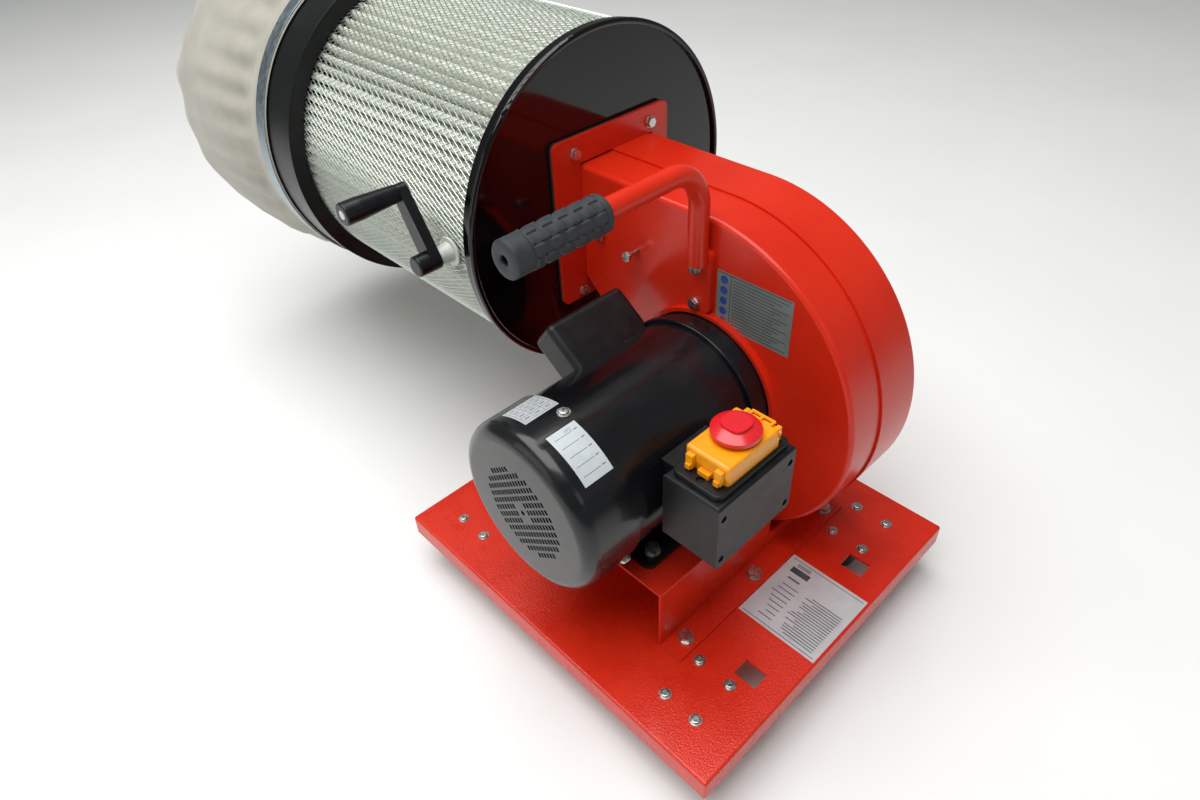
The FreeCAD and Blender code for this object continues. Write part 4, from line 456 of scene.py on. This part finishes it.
class DC_OT_paint(bpy.types.Operator):
    """Give every CAD node its finish and break its edges"""
    bl_idname = "dust_collector.paint"
    bl_label = "Paint"

    def execute(self, context):
        paint = context.scene.dc_paint
        FINISHES.update(make_finishes(paint))
        for finish_name, nodes in NODE_FINISH.items():
            for node in nodes:
                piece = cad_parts[node]
                piece.data.materials.clear()
                piece.data.materials.append(FINISHES[finish_name])
                if node in ("drum_mesh", "pleated_filter", "handle_grip", "dust_bag"):
                    continue
                self.break_edges(piece, EDGE_MM.get(node, paint.edge_radius / MM) * MM)
        bare = [n for n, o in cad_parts.items() if o.data.materials[0] not in FINISHES.values()]
        if bare:
            raise RuntimeError("no finish for " + ", ".join(bare))
        return {"FINISHED"}

    @staticmethod
    def break_edges(piece, radius):
        """Join the faces' borders, merge flat facets and round the sharp edges."""
        stored = piece.data.attributes.get("custom_normal")
        if stored:
            piece.data.attributes.remove(stored)
        sharp = piece.data.attributes.get("sharp_edge")
        if sharp:
            piece.data.attributes.remove(sharp)
        piece.data.polygons.foreach_set("use_smooth", [True] * len(piece.data.polygons))
        weld = piece.modifiers.new("join_faces", "WELD")
        weld.merge_threshold = 0.01 * MM
        flat = piece.modifiers.new("merge_flats", "DECIMATE")
        flat.decimate_type = "DISSOLVE"
        flat.angle_limit = math.radians(0.5)
        bevel = piece.modifiers.new("broken_edges", "BEVEL")
        bevel.width = radius
        bevel.segments = 2
        bevel.limit_method = "ANGLE"
        bevel.angle_limit = math.radians(32)
        even = piece.modifiers.new("even_shading", "WEIGHTED_NORMAL")
        even.weight = 50


class DC_OT_expanded_metal(bpy.types.Operator):
    """Wrap the drum in expanded metal, each strand tilted as the stretching leaves it"""
    bl_idname = "dust_collector.expanded_metal"
    bl_label = "Expanded metal"

    def execute(self, context):
        filt = context.scene.dc_filter
        radius = MESH_R - filt.metal / 2 - 0.4 * MM
        around = round(2 * math.pi * radius / filt.short_way)
        along = round((MESH_HIGH.y - MESH_LOW.y) / filt.long_way)
        step_y = (MESH_HIGH.y - MESH_LOW.y) / (2 * along)
        step_a = math.pi / around
        inset = filt.strand / (filt.short_way * 0.9)
        tilt = 0.42 * MM
        crank_hole_r = 13 * MM
        points = []
        index = {}

        def corner(a, b):
            a %= 2 * around
            if (a, b) not in index:
                index[(a, b)] = len(points)
                points.append(on_drum(MESH_LOW.y + b * step_y, radius, a * step_a))
            return index[(a, b)]

        faces = []
        hole = Vector((BUSHING.y, BUSHING.z))
        for b in range(1, 2 * along):
            for a in range(2 * around):
                if (a + b) % 2 == 0:
                    continue
                centre = on_drum(MESH_LOW.y + b * step_y, radius, a * step_a)
                near_crank = (Vector((centre.y, centre.z)) - hole).length < crank_hole_r
                if near_crank and centre.x < DRUM.x:
                    continue
                rim = [corner(a - 1, b), corner(a, b + 1), corner(a + 1, b), corner(a, b - 1)]
                lips = []
                for place, lift in zip(rim, (tilt, 0.0, -tilt, 0.0)):
                    # the bonds at the long ends are wider than the strands
                    share = inset * (1.0 if lift else 1.25)
                    p = points[place].lerp(centre, share)
                    out = Vector((p.x - DRUM.x, 0, p.z - DRUM.z)).normalized()
                    lips.append(len(points))
                    points.append(p + out * lift)
                for i in range(4):
                    j = (i + 1) % 4
                    faces.append((rim[i], rim[j], lips[j], lips[i]))
        piece = new_piece("expanded_metal", points, faces, ["expanded"], smooth=False)
        skin = piece.modifiers.new("sheet", "SOLIDIFY")
        skin.thickness = filt.metal
        skin.offset = 0
        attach(piece, BODY)
        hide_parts("drum_mesh")
        return {"FINISHED"}


class DC_OT_pleats(bpy.types.Operator):
    """Fold the filter felt into slightly uneven pleats behind the metal"""
    bl_idname = "dust_collector.pleats"
    bl_label = "Pleats"

    def execute(self, context):
        filt = context.scene.dc_filter
        draw = random.Random(11)
        per_fold = 12
        columns = filt.pleats * per_fold
        rows = 25
        felt_t = 0.6 * MM
        half = filt.pleat_depth / 2
        centre_r = PLEAT_R - half - 0.4 * MM
        jitter = [draw.uniform(-0.12, 0.12) for _ in range(filt.pleats)]
        wave = [draw.uniform(-0.1, 0.1) for _ in range(filt.pleats)]
        points = []
        for r in range(rows):
            share = r / (rows - 1)
            y = PLEAT_LOW.y + share * (PLEAT_HIGH.y - PLEAT_LOW.y)
            for c in range(columns):
                fold = c // per_fold
                phase = 2 * math.pi * (c % per_fold) / per_fold
                height = math.tanh(2.4 * math.cos(phase) + 0.7) / math.tanh(3.1)
                lean = jitter[fold] + wave[fold] * math.sin(math.pi * share * 2)
                angle = 2 * math.pi * (c / columns + lean * (1 + height) / 2 / filt.pleats)
                points.append(on_drum(y, centre_r + half * height, angle))
        piece = new_piece("pleated_felt", points, grid_faces(rows, columns, True), ["felt"])
        skin = piece.modifiers.new("felt", "SOLIDIFY")
        skin.thickness = felt_t
        skin.offset = 0
        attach(piece, BODY)
        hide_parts("pleated_filter")
        return {"FINISHED"}


class DC_OT_bag(bpy.types.Operator):
    """Hang the dust bag: gathers at the strap, long soft folds and a slumped end"""
    bl_idname = "dust_collector.bag"
    bl_label = "Dust bag"

    def execute(self, context):
        bag = context.scene.dc_bag
        draw = random.Random(5)
        length = BAG_HIGH.y - BAG_LOW.y
        cloth_t = 0.8 * MM
        under_strap = 2.6 * MM
        neck = DRUM.z - STRAP_LOW.z - under_strap
        full = BAG_R - 1.0 * MM
        # outline from the neck to the middle of the closed end: (distance, radius) in metres
        outline = [(0.0, neck), (0.10, neck), (0.14, neck + 0.2 * MM), (0.24, neck + 9 * MM),
                   (0.36, full - 1 * MM), (0.62, full), (0.80, full - 2 * MM), (0.88, full - 8 * MM),
                   (0.94, full - 24 * MM), (0.98, full - 52 * MM), (0.995, full * 0.45), (1.0, 0.004)]
        columns = 288
        rows = 130
        slack = 3 * MM
        long_depth = 2.0 * MM
        crease_depth = 2.2 * MM
        pucker_depth = 2.0 * MM
        phases = [draw.uniform(0, 2 * math.pi) for _ in range(8)]
        points = []
        for r in range(rows):
            t = r / (rows - 1)
            y_share, radius = self.along(outline, length, t)
            y = BAG_LOW.y + y_share * length
            loose = smoothstep(0.10, 0.22, y_share)
            fade = 1 - smoothstep(0.16, 0.82, y_share)
            end = smoothstep(0.7, 0.95, y_share)
            rim = min(radius / full, 1.0)
            for c in range(columns):
                angle = 2 * math.pi * c / columns
                gather = math.sin(bag.gathers * angle + phases[0] + 0.9 * math.sin(5 * angle + phases[1]))
                long_fold = (math.sin(7 * angle + phases[2] + 3 * y_share)
                             + 0.6 * math.sin(11 * angle + phases[3] - 4 * y_share))
                crease = noise.noise(Vector((4 * math.cos(angle), 4 * math.sin(angle), 3 * y_share)))
                pucker = math.sin(23 * angle + phases[4] + 1.4 * math.sin(3 * angle + phases[5]))
                swell = loose * rim * (bag.gather_depth * gather * fade * (1 - end)
                                       + long_depth * long_fold * (1 - 0.4 * end)
                                       + crease_depth * crease + pucker_depth * pucker * end)
                # cloth bears down on the lower half, and the closed end droops
                drop = bag.sag * loose * y_share * y_share
                squat = 1 - 0.02 * loose * max(math.sin(angle), 0.0)
                reach = max(radius + swell - slack * loose * rim, 2 * MM) * squat
                points.append(on_drum(y, reach, angle, drop))
        faces = grid_faces(rows, columns, True)
        faces.append(tuple((rows - 1) * columns + c for c in range(columns)))
        piece = new_piece("filter_cloth_bag", points, faces, ["cloth"])
        skin = piece.modifiers.new("cloth", "SOLIDIFY")
        skin.thickness = cloth_t
        skin.offset = -1
        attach(piece, BODY)
        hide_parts("dust_bag")
        return {"FINISHED"}

    @staticmethod
    def along(outline, length, t):
        """The outline's point a share t of the way along it, on a bag this long."""
        spans = [math.hypot((b[0] - a[0]) * length, b[1] - a[1]) for a, b in zip(outline, outline[1:])]
        left = t * sum(spans)
        for (a, b), span in zip(zip(outline, outline[1:]), spans):
            if left <= span or b is outline[-1]:
                share = min(left / span, 1.0)
                return a[0] + (b[0] - a[0]) * share, a[1] + (b[1] - a[1]) * share
            left -= span
        raise RuntimeError("the bag's outline has no length")


class DC_OT_grip(bpy.types.Operator):
    """Mould the rubber grip with staggered blocks between two plain collars"""
    bl_idname = "dust_collector.grip"
    bl_label = "Handle grip"

    COLLAR = 19 * MM
    TAIL = 6 * MM
    BLOCK_PITCH = 15.5 * MM

    def execute(self, context):
        grip = context.scene.dc_grip
        top = (GRIP_HIGH.z - GRIP_LOW.z) / 2
        base = top - grip.relief
        bore = 10.1 * MM
        hole = 4.5 * MM
        length = GRIP_HIGH.x - GRIP_LOW.x
        body_rows = 190
        columns = 240
        rings = [(GRIP_LOW.x + 5 * MM, hole, 0), (GRIP_LOW.x + 0.8 * MM, hole, 0),
                 (GRIP_LOW.x + 0.1 * MM, hole + 0.8 * MM, 0), (GRIP_LOW.x, base * 0.72, 0)]
        for step in range(body_rows):
            share = step / (body_rows - 1)
            rings.append((GRIP_LOW.x + 0.6 * MM + share * (length - 1.2 * MM), base, 1))
        rings += [(GRIP_HIGH.x, base * 0.9, 0), (GRIP_HIGH.x, bore + 0.5 * MM, 0),
                  (GRIP_HIGH.x - 0.6 * MM, bore, 0), (GRIP_HIGH.x - 30 * MM, bore, 0)]
        points = []
        for x, radius, shaped in rings:
            for c in range(columns):
                angle = 2 * math.pi * c / columns
                r = radius
                if shaped:
                    r += grip.relief * self.height(x - GRIP_LOW.x, c / columns, length, grip.rows)
                    edge = min(x - GRIP_LOW.x, GRIP_HIGH.x - x)
                    r -= 1.8 * MM * (1 - smoothstep(0.0, 2.6 * MM, edge))
                points.append(Vector((x, GRIP.y + r * math.cos(angle), GRIP.z + r * math.sin(angle))))
        faces = grid_faces(len(rings), columns, True)
        faces.append(tuple(range(columns)))
        piece = new_piece("rubber_grip", points, faces, ["rubber"])
        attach(piece, BODY)
        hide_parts("handle_grip")
        return {"FINISHED"}

    @classmethod
    def height(cls, x, turn, length, rows):
        """Share of the full relief at a place on the sleeve: 1 on a block, 0 in a groove."""
        tail = length - cls.TAIL
        if x < cls.COLLAR:
            rise = smoothstep(0.2 * MM, 1.2 * MM, x)
            return 0.75 * rise * (1 - smoothstep(cls.COLLAR - 1.6 * MM, cls.COLLAR - 0.4 * MM, x))
        if x > tail:
            return smoothstep(tail, tail + 1 * MM, x)
        row = int(turn * rows)
        across = turn * rows - row
        sides = smoothstep(0.05, 0.13, across) * (1 - smoothstep(0.87, 0.95, across))
        shift = 0.5 * cls.BLOCK_PITCH if row % 2 else 0.0
        inside = ((x - cls.COLLAR + shift) % cls.BLOCK_PITCH) / cls.BLOCK_PITCH
        ends = smoothstep(0.04, 0.1, inside) * (1 - smoothstep(0.66, 0.74, inside))
        band = (smoothstep(cls.COLLAR + 0.6 * MM, cls.COLLAR + 1.6 * MM, x)
                * (1 - smoothstep(tail - 2 * MM, tail - 1 * MM, x)))
        return sides * ends * band


class DC_OT_labels(bpy.types.Operator):
    """Stick on the rating, data and safety films, ruled with plain bars only"""
    bl_idname = "dust_collector.labels"
    bl_label = "Labels"

    def execute(self, context):
        # each film has a place on its wall for a share u across, a share v up and a lift
        # off the wall, and its size in millimetres
        wall = BLOWER_WALL_X - 0.02 * MM
        left = MOTOR.y - 6.0 * MM
        low = MOTOR.z + 80 * MM
        safety = (87, 61)
        self.film("safety_film", "film_grey",
                  lambda u, v, lift: Vector((wall - lift, left - u * safety[0] * MM,
                                             low + v * safety[1] * MM)),
                  safety, self.safety_marks())
        corner_x = PLATE_LOW.x + 165 * MM
        corner_y = PLATE_LOW.y + 3 * MM
        plate = (92, 98)
        self.film("data_film", "film_silver",
                  lambda u, v, lift: Vector((corner_x + v * plate[1] * MM,
                                             corner_y + u * plate[0] * MM, PLATE_TOP + lift)),
                  plate, self.data_marks())
        rating = (32, 54)
        rating_x = COVER_LOW.x + 22 * MM
        self.film("rating_film", "film_white",
                  lambda u, v, lift: on_motor(rating_x + u * rating[0] * MM, COVER_R + lift,
                                              math.radians(136 - 35 * v)),
                  rating, self.rating_marks())
        motor = (38, 36)
        motor_x = COVER_LOW.x + 21 * MM
        self.film("motor_film", "film_silver",
                  lambda u, v, lift: on_motor(motor_x + u * motor[0] * MM, COVER_R + lift,
                                              math.radians(62 + 23 * v)),
                  motor, self.motor_marks())
        return {"FINISHED"}

    @staticmethod
    def safety_marks():
        """Ruled lines beside a column of plain discs."""
        marks = [("bar", 0.02, 0.98, 0.965, 0.98), ("bar", 0.185, 0.195, 0.02, 0.97)]
        for i in range(5):
            marks.append(("disc", 0.1, 0.86 - 0.19 * i, 0.05, 0.0))
        for i in range(16):
            v = 0.9 - 0.057 * i
            marks.append(("bar", 0.22, 0.95 - 0.09 * (i % 3), v, v + 0.016))
        return marks

    @staticmethod
    def data_marks():
        """Two columns of short ruled lines under a heading bar."""
        draw = random.Random(3)
        marks = [("bar", 0.03, 0.97, 0.955, 0.963), ("bar", 0.03, 0.97, 0.03, 0.038),
                 ("bar", 0.66, 0.9, 0.78, 0.86), ("bar", 0.70, 0.86, 0.69, 0.71)]
        for i in range(9):
            marks.append(("bar", 0.7 + 0.02 * i, 0.71 + 0.02 * i, 0.88, 0.93))
        for i in range(17):
            v = 0.08 + 0.034 * i
            marks.append(("bar", 0.08, 0.08 + draw.uniform(0.34, 0.5), v, v + 0.011))
            if i % 2:
                marks.append(("bar", 0.64, 0.64 + draw.uniform(0.12, 0.28), v, v + 0.011))
        return marks

    @staticmethod
    def rating_marks():
        """Five ruled lines, each with a short bar after it."""
        marks = []
        for i in range(5):
            v = 0.14 + 0.18 * i
            marks.append(("bar", 0.12, 0.72, v, v + 0.008))
            marks.append(("bar", 0.78, 0.9, v, v + 0.014))
        marks.append(("bar", 0.5, 0.74, 0.9, 0.906))
        marks.append(("bar", 0.5, 0.74, 0.93, 0.936))
        return marks

    @staticmethod
    def motor_marks():
        """A table of three columns and four rows."""
        marks = [("bar", 0.05, 0.95, v, v + 0.01) for v in (0.05, 0.27, 0.49, 0.71, 0.93)]
        marks += [("bar", u, u + 0.008, 0.05, 0.94) for u in (0.05, 0.35, 0.65, 0.94)]
        marks += [("bar", u, u + 0.14, v, v + 0.03) for u in (0.12, 0.42, 0.72)
                  for v in (0.15, 0.37, 0.59, 0.81)]
        return marks

    def film(self, name, finish_name, at, size_mm, marks):
        """A thin film that follows its surface, with printed marks a little above it."""
        width, height = size_mm
        film_t = 0.12 * MM
        ink_t = 0.03 * MM
        cell_mm = 3
        disc_sides = 28
        points = []
        faces = []
        which = []

        def slab(u0, u1, v0, v1, low, high, ink):
            nu = max(2, int((u1 - u0) * width / cell_mm) + 2)
            nv = max(2, int((v1 - v0) * height / cell_mm) + 2)
            start = len(points)
            for lift in (high, low):
                for i in range(nv):
                    for j in range(nu):
                        u = u0 + (u1 - u0) * j / (nu - 1)
                        v = v0 + (v1 - v0) * i / (nv - 1)
                        points.append(at(u, v, lift))
            count = nu * nv
            for i in range(nv - 1):
                for j in range(nu - 1):
                    a = start + i * nu + j
                    faces.append((a, a + 1, a + nu + 1, a + nu))
                    faces.append(tuple(p + count for p in (a + nu, a + nu + 1, a + 1, a)))
                    which.extend([ink, ink])
            ring = ([start + j for j in range(nu)] + [start + i * nu + nu - 1 for i in range(1, nv)]
                    + [start + (nv - 1) * nu + j for j in range(nu - 2, -1, -1)]
                    + [start + i * nu for i in range(nv - 2, 0, -1)])
            for a, b in zip(ring, ring[1:] + ring[:1]):
                faces.append((b, a, a + count, b + count))
                which.append(ink)

        slab(0, 1, 0, 1, 0.0, film_t, 0)
        # a bar is left, right, bottom and top; a disc is its centre and its radius
        for kind, a, b, c, d in marks:
            if kind == "bar":
                slab(a, b, c, d, film_t * 0.9, film_t + ink_t, 1)
                continue
            start = len(points)
            for i in range(disc_sides):
                turn = 2 * math.pi * i / disc_sides
                points.append(at(a + c * math.cos(turn), b + c * width / height * math.sin(turn),
                                 film_t + ink_t))
            faces.append(tuple(range(start, start + disc_sides)))
            which.append(2)
        piece = new_piece(name, points, faces, [finish_name, "ink", "ink_blue"], which, smooth=False)
        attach(piece, BODY)


class DC_OT_hinge_strap(bpy.types.Operator):
    """Clip the raised strap with its two windows over the switch lid's hinge"""
    bl_idname = "dust_collector.hinge_strap"
    bl_label = "Hinge strap"

    def execute(self, context):
        low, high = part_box("switch_lid")
        y = (low.y + high.y) / 2
        x1 = high.x + 0.6 * MM
        x0 = x1 - 12 * MM
        z0 = LID_ARM_TOP + 0.2 * MM
        z1 = z0 + 2.2 * MM
        half = 12.5 * MM
        bar = 2.4 * MM
        parts = [(x0, x0 + bar, -half, half), (x1 - bar, x1, -half, half)]
        parts += [(x0, x1, c - bar / 2, c + bar / 2) for c in (-half + bar / 2, 0.0, half - bar / 2)]
        points = []
        faces = []
        for a, b, c, d in parts:
            start = len(points)
            corners = ((a, c), (b, c), (b, d), (a, d))
            points += [Vector((px, y + py, pz)) for pz in (z0, z1) for px, py in corners]
            faces += [tuple(start + i for i in face) for face in
                      ((3, 2, 1, 0), (4, 5, 6, 7), (0, 1, 5, 4), (1, 2, 6, 5), (2, 3, 7, 6), (3, 0, 4, 7))]
        piece = new_piece("hinge_strap", points, faces, ["yellow"])
        join = piece.modifiers.new("one_moulding", "REMESH")
        join.mode = "VOXEL"
        join.voxel_size = 0.35 * MM
        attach(piece, "lid")
        return {"FINISHED"}


class DC_OT_studio(bpy.types.Operator):
    """Lay the pale floor and set up the soft lamps"""
    bl_idname = "dust_collector.studio"
    bl_label = "Studio"

    def execute(self, context):
        studio = context.scene.dc_studio
        scene = context.scene
        scene.view_settings.view_transform = "Standard"
        # matt paper off a roll: even, very slightly mottled
        paper = finish("matt_paper_floor", (tuple(0.97 * c for c in studio.floor), tuple(studio.floor)),
                       (0.8, 0.9), 400, 6.0, 0.02)
        mesh = bpy.data.meshes.new("floor")
        side = 6.0
        mesh.from_pydata([(-side, -side, 0), (side, -side, 0), (side, side, 0), (-side, side, 0)], [],
                         [(0, 1, 2, 3)])
        mesh.materials.append(paper)
        floor = bpy.data.objects.new("floor", mesh)
        scene.collection.objects.link(floor)
        target = Vector((0.0, -0.15, 0.25))
        lamps = [("key_lamp", (-0.5, 0.1, 3.0), (3.2, 2.8), studio.key),
                 ("fill_lamp", (-2.2, 0.4, 1.0), (1.6, 1.4), studio.fill),
                 ("front_lamp", (0.2, -2.6, 1.6), (1.2, 0.7), studio.fill * 0.3)]
        for name, place, size, power in lamps:
            data = bpy.data.lights.new(name, "AREA")
            data.shape = "RECTANGLE"
            data.size, data.size_y = size
            data.energy = power
            lamp = bpy.data.objects.new(name, data)
            lamp.location = place
            lamp.rotation_euler = (target - Vector(place)).to_track_quat("-Z", "Y").to_euler()
            scene.collection.objects.link(lamp)
        world = bpy.data.worlds.new("room")
        world.use_nodes = True
        back = world.node_tree.nodes["Background"]
        back.inputs["Color"].default_value = (*linear("#F1F7F6"), 1.0)
        back.inputs["Strength"].default_value = studio.sky
        scene.world = world
        return {"FINISHED"}


class DC_PT_panel(bpy.types.Panel):
    """Buttons and sizes of the dust collector"""
    bl_idname = "DC_PT_panel"
    bl_label = "Dust collector"
    bl_space_type = "VIEW_3D"
    bl_region_type = "UI"
    bl_category = "Dust collector"

    def draw(self, context):
        for operator in OPERATORS:
            self.layout.operator(operator.bl_idname)
        for name, group in SETTINGS.items():
            box = self.layout.box()
            for prop in group.__annotations__:
                box.prop(getattr(context.scene, name), prop)


SETTINGS = {"dc_view": DC_ViewSettings, "dc_paint": DC_PaintSettings, "dc_filter": DC_FilterSettings,
            "dc_bag": DC_BagSettings, "dc_grip": DC_GripSettings, "dc_studio": DC_StudioSettings}
OPERATORS = [DC_OT_camera, DC_OT_paint, DC_OT_expanded_metal, DC_OT_pleats, DC_OT_bag, DC_OT_grip,
             DC_OT_labels, DC_OT_hinge_strap, DC_OT_studio]


def register():
    for cls in [*SETTINGS.values(), *OPERATORS, DC_PT_panel]:
        bpy.utils.register_class(cls)
    for name, group in SETTINGS.items():
        setattr(bpy.types.Scene, name, PointerProperty(type=group))


def unregister():
    for name in SETTINGS:
        delattr(bpy.types.Scene, name)
    for cls in reversed([*SETTINGS.values(), *OPERATORS, DC_PT_panel]):
        bpy.utils.unregister_class(cls)


def main():
    register()
    bpy.ops.dust_collector.camera()
    bpy.ops.dust_collector.paint()
    bpy.ops.dust_collector.expanded_metal()
    bpy.ops.dust_collector.pleats()
    bpy.ops.dust_collector.bag()
    bpy.ops.dust_collector.grip()
    bpy.ops.dust_collector.labels()
    bpy.ops.dust_collector.hinge_strap()
    bpy.ops.dust_collector.studio()


if __name__ == "__main__":
    main()
